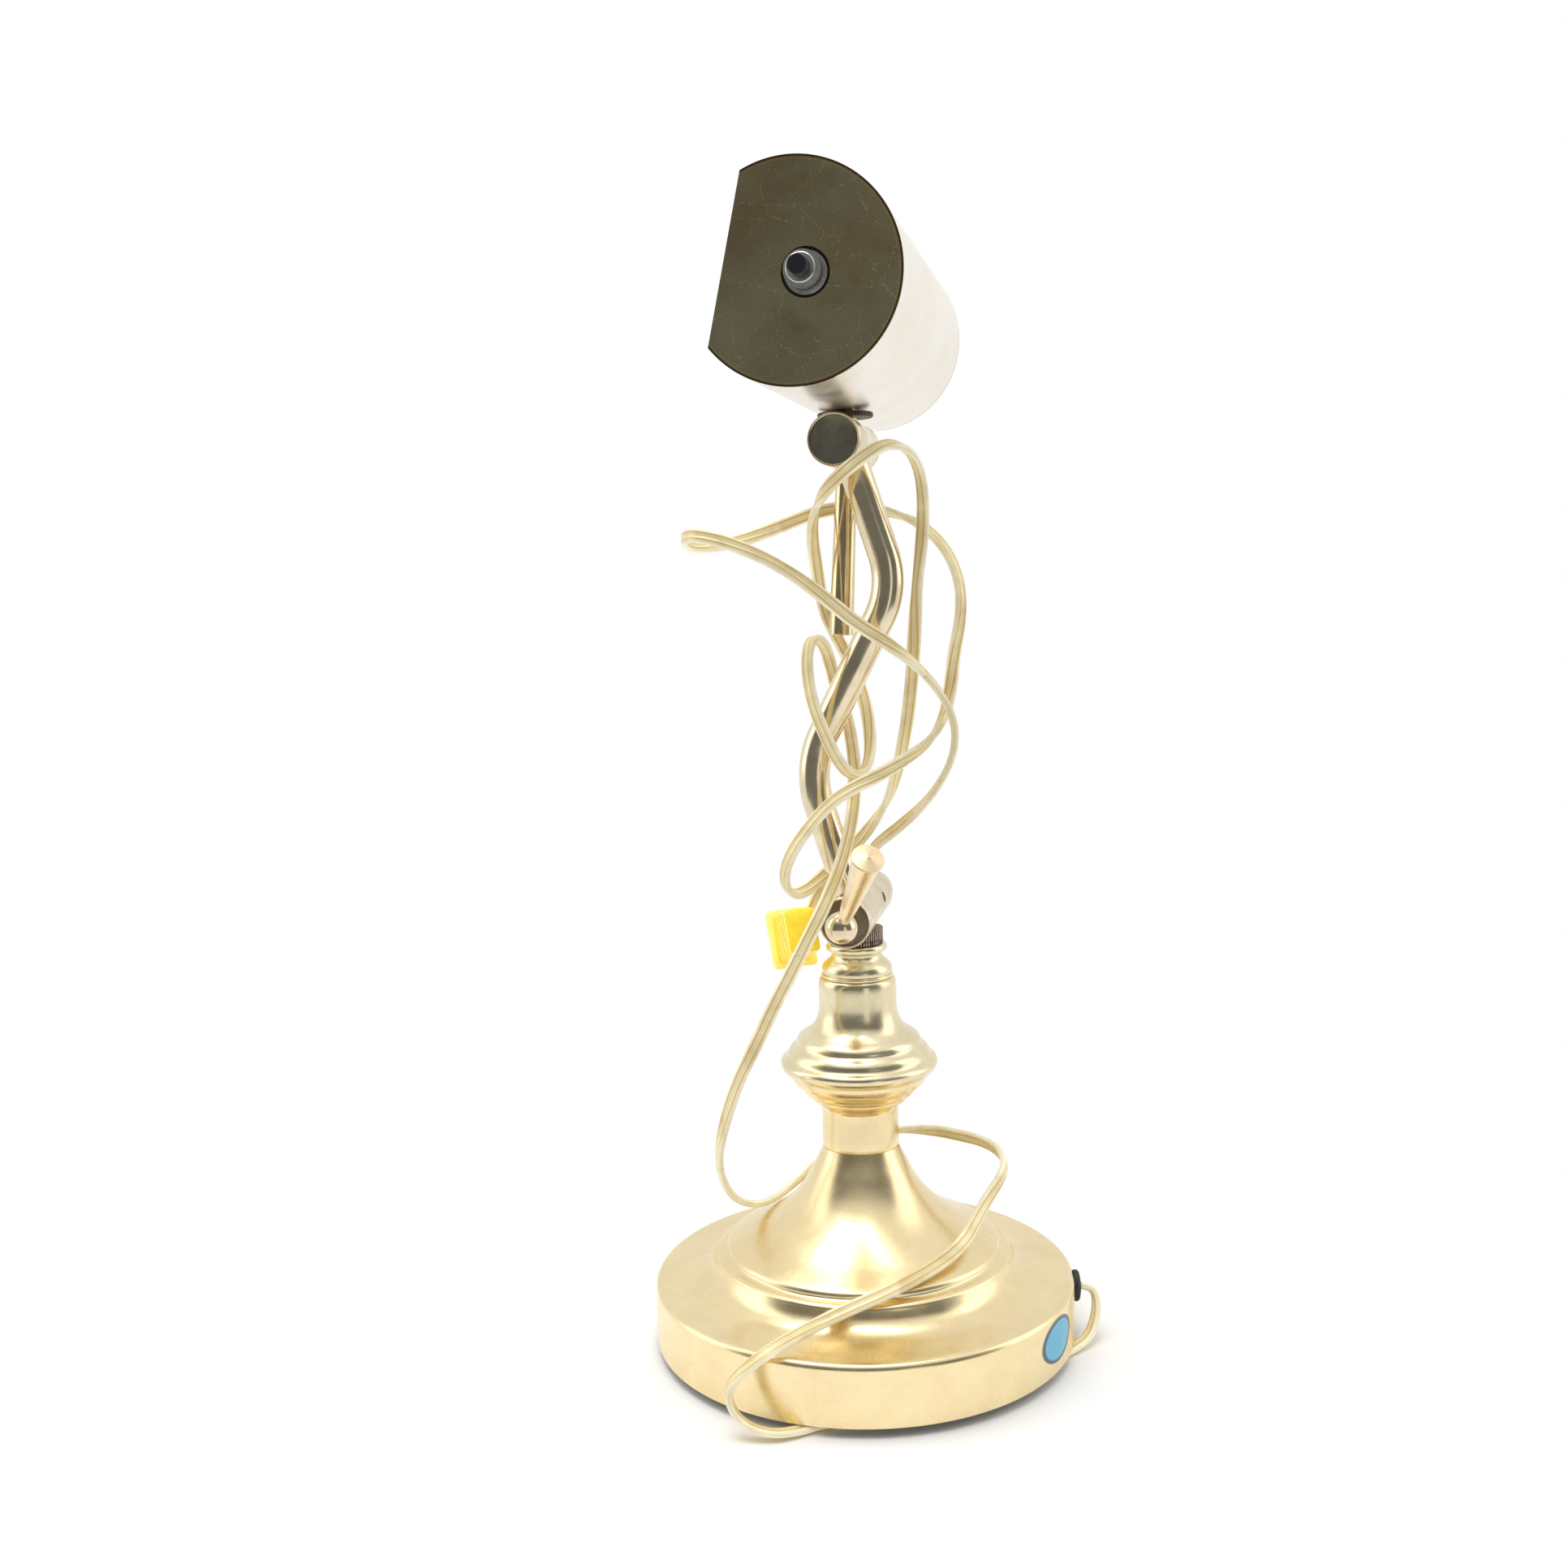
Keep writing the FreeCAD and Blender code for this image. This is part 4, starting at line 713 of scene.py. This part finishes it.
def aged_cap_with_painted_shade():
    """Lacquered brass, olive, finely specked, with long curved scratches and hairlines; darkened throughout as painted
    shade, with reddish patches of painted reflection and a painted highlight line then a painted dark line at the rim.
    """
    m, nt, b, out = material("brass_cap")
    b.inputs["Metallic"].default_value = 1.0
    c = coords(nt)
    cloud = noise(nt, 30, 5, 0.6, c, 0.6)
    tone = ramp(nt, cloud, [(0.30, (0.72, 0.58, 0.34)), (0.48, (0.86, 0.78, 0.50)), (0.70, (0.96, 0.90, 0.62))])
    specks = ramp(nt, noise(nt, 1500, 3, 0.7, c), [(0.0, (1, 1, 1)), (0.58, (1, 1, 1)), (0.70, (0.55, 0.45, 0.38))])
    tone = mix(nt, 1.0, tone, specks, "MULTIPLY")
    # reddish patches multiplied in: a painted reddish reflection
    warm = ramp(nt, noise(nt, 22, 3, 0.5, c, 0.3), [(0.56, (1, 1, 1)), (0.78, (1.0, 0.84, 0.72))])
    tone = mix(nt, 1.0, tone, warm, "MULTIPLY")
    # darkened throughout: painted shade standing in for the cap's dark reflection
    tone = mix(nt, 1.0, tone, (0.66, 0.66, 0.62), "MULTIPLY")
    # at the rim a painted highlight line, brighter than metal can be, then a painted dark line: the light and shade of
    # a rolled edge
    xyz = nt.nodes.new("ShaderNodeSeparateXYZ")
    nt.links.new(c, xyz.inputs[0])
    dx = math_node(nt, "SUBTRACT", xyz.outputs[0], -0.00170)
    dz = math_node(nt, "SUBTRACT", xyz.outputs[2], 0.4288)
    far = math_node(nt, "SQRT", math_node(nt, "ADD", math_node(nt, "MULTIPLY", dx, dx), math_node(nt, "MULTIPLY", dz, dz)))
    edge = ramp(nt, math_node(nt, "MULTIPLY", far, 20.0), [(0.0, (1, 1, 1)), (0.7480, (1, 1, 1)), (0.7600, (1.5, 1.25, 0.95)),
                                                          (0.7700, (0.34, 0.26, 0.22)), (0.79, (0.26, 0.19, 0.17))])
    tone = mix(nt, 1.0, tone, edge, "MULTIPLY")
    nt.links.new(tone, b.inputs["Base Color"])
    marks = scratches(nt, (26, 40, 34), 0.006, 0.1)
    hair = scratches(nt, (120, 40, 60), 0.010, 0.45)
    dust = ramp(nt, noise(nt, 1900, 2, 0.8, c), [(0.0, (0, 0, 0)), (0.66, (0, 0, 0)), (0.74, (1, 1, 1))])
    both = math_node(nt, "MAXIMUM", math_node(nt, "MAXIMUM", marks, hair), math_node(nt, "MULTIPLY", dust, 0.5))
    nt.links.new(ramp(nt, both, [(0.0, (0.09, 0.09, 0.09)), (1.0, (0.42, 0.42, 0.42))]), b.inputs["Roughness"])
    bump(nt, b, math_node(nt, "ADD", math_node(nt, "MULTIPLY", both, 0.5), noise(nt, 500, 3, 0.6, c)), 0.07, 0.0002)
    return m


def knurled_dark():
    """Brown-black turned ring with upright flutes all round."""
    m, nt, b, out = material("ring_knurled")
    b.inputs["Metallic"].default_value = 1.0
    t = nt.nodes.new("ShaderNodeTexCoord")
    sp = nt.nodes.new("ShaderNodeSeparateXYZ")
    nt.links.new(t.outputs["Object"], sp.inputs[0])
    ang = math_node(nt, "ARCTAN2", sp.outputs[1], sp.outputs[0])
    wave = math_node(nt, "SINE", math_node(nt, "MULTIPLY", ang, 60.0), 0)
    wave = math_node(nt, "MULTIPLY_ADD", wave, 0.5, 0.5)
    dirt = noise(nt, 700, 3, 0.6, t.outputs["Object"])
    tone = ramp(nt, math_node(nt, "MULTIPLY", wave, math_node(nt, "ADD", dirt, 0.4)),
                [(0.1, (0.05, 0.035, 0.028)), (0.6, (0.30, 0.22, 0.16)), (0.95, (0.62, 0.50, 0.36))])
    nt.links.new(tone, b.inputs["Base Color"])
    nt.links.new(ramp(nt, dirt, [(0.3, (0.28, 0.28, 0.28)), (0.7, (0.5, 0.5, 0.5))]), b.inputs["Roughness"])
    bump(nt, b, wave, 0.7, 0.0004)
    return m


def sticker_material():
    """Blank oval: pale blue field, darker border line, white edge."""
    m, nt, b, out = material("sticker_blank")
    a = math.radians(-19.8)
    t = nt.nodes.new("ShaderNodeTexCoord")
    sp = nt.nodes.new("ShaderNodeSeparateXYZ")
    nt.links.new(t.outputs["Object"], sp.inputs[0])
    u = math_node(nt, "SUBTRACT", math_node(nt, "MULTIPLY", sp.outputs[1], math.cos(a)),
                  math_node(nt, "MULTIPLY", sp.outputs[0], math.sin(a)))
    u = math_node(nt, "DIVIDE", u, 0.0138)
    v = math_node(nt, "DIVIDE", math_node(nt, "SUBTRACT", sp.outputs[2], 0.0175), 0.0089)
    r = math_node(nt, "SQRT", math_node(nt, "ADD", math_node(nt, "MULTIPLY", u, u), math_node(nt, "MULTIPLY", v, v)), 0)
    blot = noise(nt, 420, 4, 0.6, t.outputs["Object"])
    r = math_node(nt, "ADD", r, math_node(nt, "MULTIPLY", math_node(nt, "SUBTRACT", blot, 0.5), 0.05))
    tone = ramp(nt, r, [(0.0, (0.10, 0.46, 0.68)), (0.83, (0.14, 0.50, 0.72)), (0.87, (0.07, 0.12, 0.16)),
                        (0.97, (0.08, 0.12, 0.16)), (1.0, (0.20, 0.30, 0.34))])
    nt.links.new(tone, b.inputs["Base Color"])
    nt.links.new(ramp(nt, blot, [(0.3, (0.28, 0.28, 0.28)), (0.7, (0.42, 0.42, 0.42))]), b.inputs["Roughness"])
    return m


def plug_material(name, base, deep):
    m, nt, b, out = material(name)
    c = coords(nt)
    nt.links.new(ramp(nt, noise(nt, 220, 4, 0.6, c), [(0.3, deep), (0.65, base)]), b.inputs["Base Color"])
    nt.links.new(ramp(nt, noise(nt, 500, 3, 0.6, c), [(0.3, (0.22, 0.22, 0.22)), (0.7, (0.34, 0.34, 0.34))]),
                 b.inputs["Roughness"])
    b.inputs["Subsurface Weight"].default_value = 0.25
    # emission in the plug's own colour: painted light, the plug gives off none
    b.inputs["Emission Strength"].default_value = 0.28
    nt.links.new(b.inputs["Base Color"].links[0].from_socket, b.inputs["Emission Color"])
    b.inputs["Subsurface Scale"].default_value = 0.004
    b.inputs["Subsurface Radius"].default_value = (1.0, 0.7, 0.2)
    b.inputs["Coat Weight"].default_value = 0.35
    bump(nt, b, noise(nt, 800, 2, 0.5, c), 0.05)
    return m


def clear_glass():
    m, nt, b, out = material("bulb_clear")
    b.inputs["Base Color"].default_value = (0.99, 0.99, 0.99, 1.0)
    b.inputs["Transmission Weight"].default_value = 1.0
    b.inputs["IOR"].default_value = 1.45
    nt.links.new(ramp(nt, noise(nt, 200, 3, 0.6, coords(nt)), [(0.3, (0.0, 0.0, 0.0)), (0.8, (0.06, 0.06, 0.06))]),
                 b.inputs["Roughness"])
    return m


M["cap"] = aged_cap_with_painted_shade()
M["knurled"] = knurled_dark()
M["sticker"] = sticker_material()
M["glass"] = clear_glass()
M["knuckle"] = brass("brass_knuckle", (0.80, 0.68, 0.46), (0.50, 0.38, 0.24), 0.20, 0.16, 0.4, 110, 1600, 0.0, 0.6)
M["knuckle_low"] = brass("brass_knuckle_low", (0.82, 0.71, 0.50), (0.54, 0.42, 0.27), 0.20, 0.16, 0.4, 110, 1600, 0.0, 0.6)
nt = M["knuckle_low"].node_tree
kb = next(n for n in nt.nodes if n.type == "BSDF_PRINCIPLED")
t = nt.nodes.new("ShaderNodeTexCoord")
sp = nt.nodes.new("ShaderNodeSeparateXYZ")
nt.links.new(t.outputs["Object"], sp.inputs[0])
kz = math_node(nt, "SUBTRACT", sp.outputs[2], 0.1854)
kr = math_node(nt, "SQRT", math_node(nt, "ADD", math_node(nt, "MULTIPLY", kz, kz),
                                     math_node(nt, "MULTIPLY", sp.outputs[0], sp.outputs[0])), 0)
# inside the rim of the lower knuckle's front face the colour turns dark, non-metal brown: painted shade in the recess
mask = math_node(nt, "MULTIPLY", math_node(nt, "LESS_THAN", kr, 0.00948), math_node(nt, "LESS_THAN", sp.outputs[1], -0.0240))
was = kb.inputs["Base Color"].links[0].from_socket
recess_painted_shade = ramp(nt, noise(nt, 1300, 3, 0.7, t.outputs["Object"]), [(0.35, (0.15, 0.11, 0.07)), (0.65, (0.27, 0.21, 0.14))])
nt.links.new(mix(nt, mask, was, recess_painted_shade), kb.inputs["Base Color"])
nt.links.new(math_node(nt, "MULTIPLY_ADD", mask, -0.7, 1.0), kb.inputs["Metallic"])
# the knuckle's face disc is coloured dark olive: a painted dark reflection
M["face"] = brass("brass_face", (0.42, 0.40, 0.30), (0.22, 0.20, 0.15), 0.10, 0.12, 0.5, 90, 1500, 0.02, 0.6)
M["tail"] = brass("brass_handle", (0.80, 0.66, 0.40), (0.52, 0.36, 0.20), 0.10, 0.10, 0.35, 70, 2200, 0.0, 0.5)
M["lever"] = brass("brass_lever", (0.92, 0.78, 0.55), (0.82, 0.62, 0.38), 0.24, 0.10, 0.2, 90, 1900, 0.0, 0.4)
for slot_material in (plug_material("plug_yellow", (1.0, 0.80, 0.06), (1.0, 0.68, 0.03)),
                      plug_material("plug_pale", (1.0, 0.93, 0.32), (1.0, 0.88, 0.18)),
                      plug_material("plug_rib", (1.0, 0.60, 0.03), (0.98, 0.48, 0.02))):
    plug.data.materials.append(slot_material)
cap.data.materials.append(M["matte"])
for o in turned.values():
    o.data.materials.append(M["base"] if o.name in ("base_turned", "collar_turned") else M["stem"])
M["cord"] = cord_material()
for o in cords.values():
    o.data.materials.append(M["cord"])

# ------------------------------------------------------------------ CAD nodes that stay: materials
NODE_MATERIAL = {
    "felt": ["felt_pad"], "steel": ["bottom_plate", "lamp_pipe", "pipe_nut", "clamp_bolt", "pivot_bolt_upper", "grub_screw",
                                    "shade_strap"],
    "iron": ["base_weight"], "rubber": ["cord_grommet"],
    "knurled": ["saddle_washer", "lower_lock_ring"], "ring": ["upper_lock_ring"],
    "arm": ["arm_tube", "shade_knuckle", "rear_cap_upper", "head_post"],
    "knuckle": ["stem_knuckle", "rear_cap_lower", "arm_knuckle_upper"], "knuckle_low": ["arm_knuckle_lower"],
    "tail": ["tail_handle"], "lever": ["clamp_lever"],
    "mirror": ["clamp_ball", "pivot_nut_upper"], "cap": ["end_cap_near", "end_cap_far"], "face": ["knuckle_face_cap"],
    "shade": ["shade_shell"], "nickel": ["switch_bush"], "shaft": ["switch_shaft"],
    "phenolic": ["lamp_socket"], "raw": ["bulb_cap", "post_nut", "plug_blades"], "sticker": ["blank_sticker"],
    "glass": ["bulb_glass"],
    "washer": ["friction_washer_lower", "friction_washer_upper"], "leads": ["lead_base", "lead_arm", "lead_head"],
}
for key, names in NODE_MATERIAL.items():
    for n in names:
        o = frame["nodes"][n]
        if o.material_slots:
            for s in o.material_slots:
                s.material = M[key]
        else:
            o.data.materials.append(M[key])

# ------------------------------------------------------------------ world and floor
world = bpy.data.worlds.new("studio")
scene.world = world
world.use_nodes = True
wt = world.node_tree
wt.nodes.clear()
wout = wt.nodes.new("ShaderNodeOutputWorld")
tc = wt.nodes.new("ShaderNodeTexCoord")
sep = wt.nodes.new("ShaderNodeSeparateXYZ")
wt.links.new(tc.outputs["Generated"], sep.inputs[0])


def wmath(op, a, b=None, c=None, clamp=False):
    return math_node(wt, op, a, b if b is not None else 0.0, c, clamp)


X, Y, Z = sep.outputs
flat = wmath("SQRT", wmath("ADD", wmath("MULTIPLY", X, X), wmath("MULTIPLY", Y, Y)))
FX, FY = 0.17, -0.985            # toward the dark half of the room
cosa = wmath("DIVIDE", wmath("ADD", wmath("MULTIPLY", X, FX), wmath("MULTIPLY", Y, FY)), wmath("MAXIMUM", flat, 0.001))


def step(v, lo, hi):
    n = wt.nodes.new("ShaderNodeMapRange")
    n.interpolation_type = "SMOOTHSTEP"
    n.inputs["From Min"].default_value = lo
    n.inputs["From Max"].default_value = hi
    wt.links.new(v, n.inputs["Value"])
    return n.outputs["Result"]


side = wmath("SUBTRACT", wmath("MULTIPLY", X, FY), wmath("MULTIPLY", Y, FX))     # positive to the camera's left
side = wmath("MULTIPLY", wmath("DIVIDE", side, wmath("MAXIMUM", flat, 0.001)), -1.0)
front = step(cosa, 0.18, 0.40)
low_enough = step(Z, 0.80, 0.52)
dark = wmath("MULTIPLY", front, low_enough)
box_side = wmath("MULTIPLY", step(cosa, -0.42, -0.22), step(cosa, 0.36, 0.16))
box_side = wmath("MULTIPLY", box_side, wmath("MULTIPLY", step(Z, -0.12, 0.0), step(Z, 0.86, 0.66)))
strip = wmath("MULTIPLY", wmath("MULTIPLY", step(side, 0.30, 0.36), step(side, 0.56, 0.50)), step(cosa, 0.0, 0.2))
strip = wmath("MULTIPLY", strip, wmath("MULTIPLY", step(Z, -0.60, -0.50), step(Z, 0.26, 0.14)))
level = wmath("ADD", 0.90, wmath("MULTIPLY", box_side, 0.9))
level = wmath("MULTIPLY", level, wmath("SUBTRACT", 1.0, wmath("MULTIPLY", dark, 0.81)))
level = wmath("ADD", level, wmath("MULTIPLY", strip, 0.85))
bg = wt.nodes.new("ShaderNodeBackground")
wt.links.new(level, bg.inputs["Strength"])
bg.inputs["Color"].default_value = (1.0, 0.995, 0.985, 1)
white = wt.nodes.new("ShaderNodeBackground")
white.inputs["Strength"].default_value = 1.0
white.inputs["Color"].default_value = (1.0, 1.0, 1.0, 1.0)
lp = wt.nodes.new("ShaderNodeLightPath")
ms = wt.nodes.new("ShaderNodeMixShader")
wt.links.new(lp.outputs["Is Camera Ray"], ms.inputs[0])
wt.links.new(bg.outputs[0], ms.inputs[1])
wt.links.new(white.outputs[0], ms.inputs[2])
wt.links.new(ms.outputs[0], wout.inputs[0])

floor = mesh_object("floor", [(0.9 * math.cos(2 * math.pi * k / 96) , 0.9 * math.sin(2 * math.pi * k / 96) , -0.0001)
                              for k in range(96)], [tuple(range(96))], smooth=False)
fm, fnt, fb, fo = material("floor_white")
fb.inputs["Base Color"].default_value = (0.95, 0.95, 0.955, 1)
fb.inputs["Roughness"].default_value = 0.9
fb.inputs["Specular IOR Level"].default_value = 0.2
ft = fnt.nodes.new("ShaderNodeTexCoord")
fl = fnt.nodes.new("ShaderNodeVectorMath")
fl.operation = "LENGTH"
fnt.links.new(ft.outputs["Object"], fl.inputs[0])
fr = fnt.nodes.new("ShaderNodeMapRange")
fr.interpolation_type = "SMOOTHSTEP"
fr.inputs["From Min"].default_value = 0.10
fr.inputs["From Max"].default_value = 0.26
fnt.links.new(fl.outputs["Value"], fr.inputs["Value"])
fe = fnt.nodes.new("ShaderNodeEmission")
fe.inputs["Color"].default_value = (1.0, 1.0, 1.0, 1.0)
fe.inputs["Strength"].default_value = 1.0
fx = fnt.nodes.new("ShaderNodeMixShader")
fnt.links.new(fr.outputs["Result"], fx.inputs[0])
fnt.links.new(fb.outputs[0], fx.inputs[1])
fnt.links.new(fe.outputs[0], fx.inputs[2])
fnt.links.new(fx.outputs[0], fo.inputs[0])
floor.data.materials.append(fm)

sun = bpy.data.lights.new("top_light", "AREA")
sun.energy = 9.0
sun.size = 0.9
so = bpy.data.objects.new("top_light", sun)
so.location = (-0.15, -0.2, 1.3)
so.rotation_euler = (math.radians(-8), math.radians(-6), 0)
scene.collection.objects.link(so)

scene.view_settings.view_transform = "Standard"
scene.view_settings.look = "None"
scene.view_settings.exposure = 0.0

# ------------------------------------------------------------------ riding and declaring
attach(cords["cord_over_base"], "stand")
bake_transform(cords["cord_rise_stem"])
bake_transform(cords["cord_rise_knuckle"])
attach(cords["cord_arm_loops"], "arm")
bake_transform(cords["cord_to_plug"])
parts_order = ["cord_over_base", "cord_rise_stem", "cord_rise_knuckle", "cord_arm_loops", "cord_to_plug"]
for name in parts_order:
    lo, hi = CUTS[name]
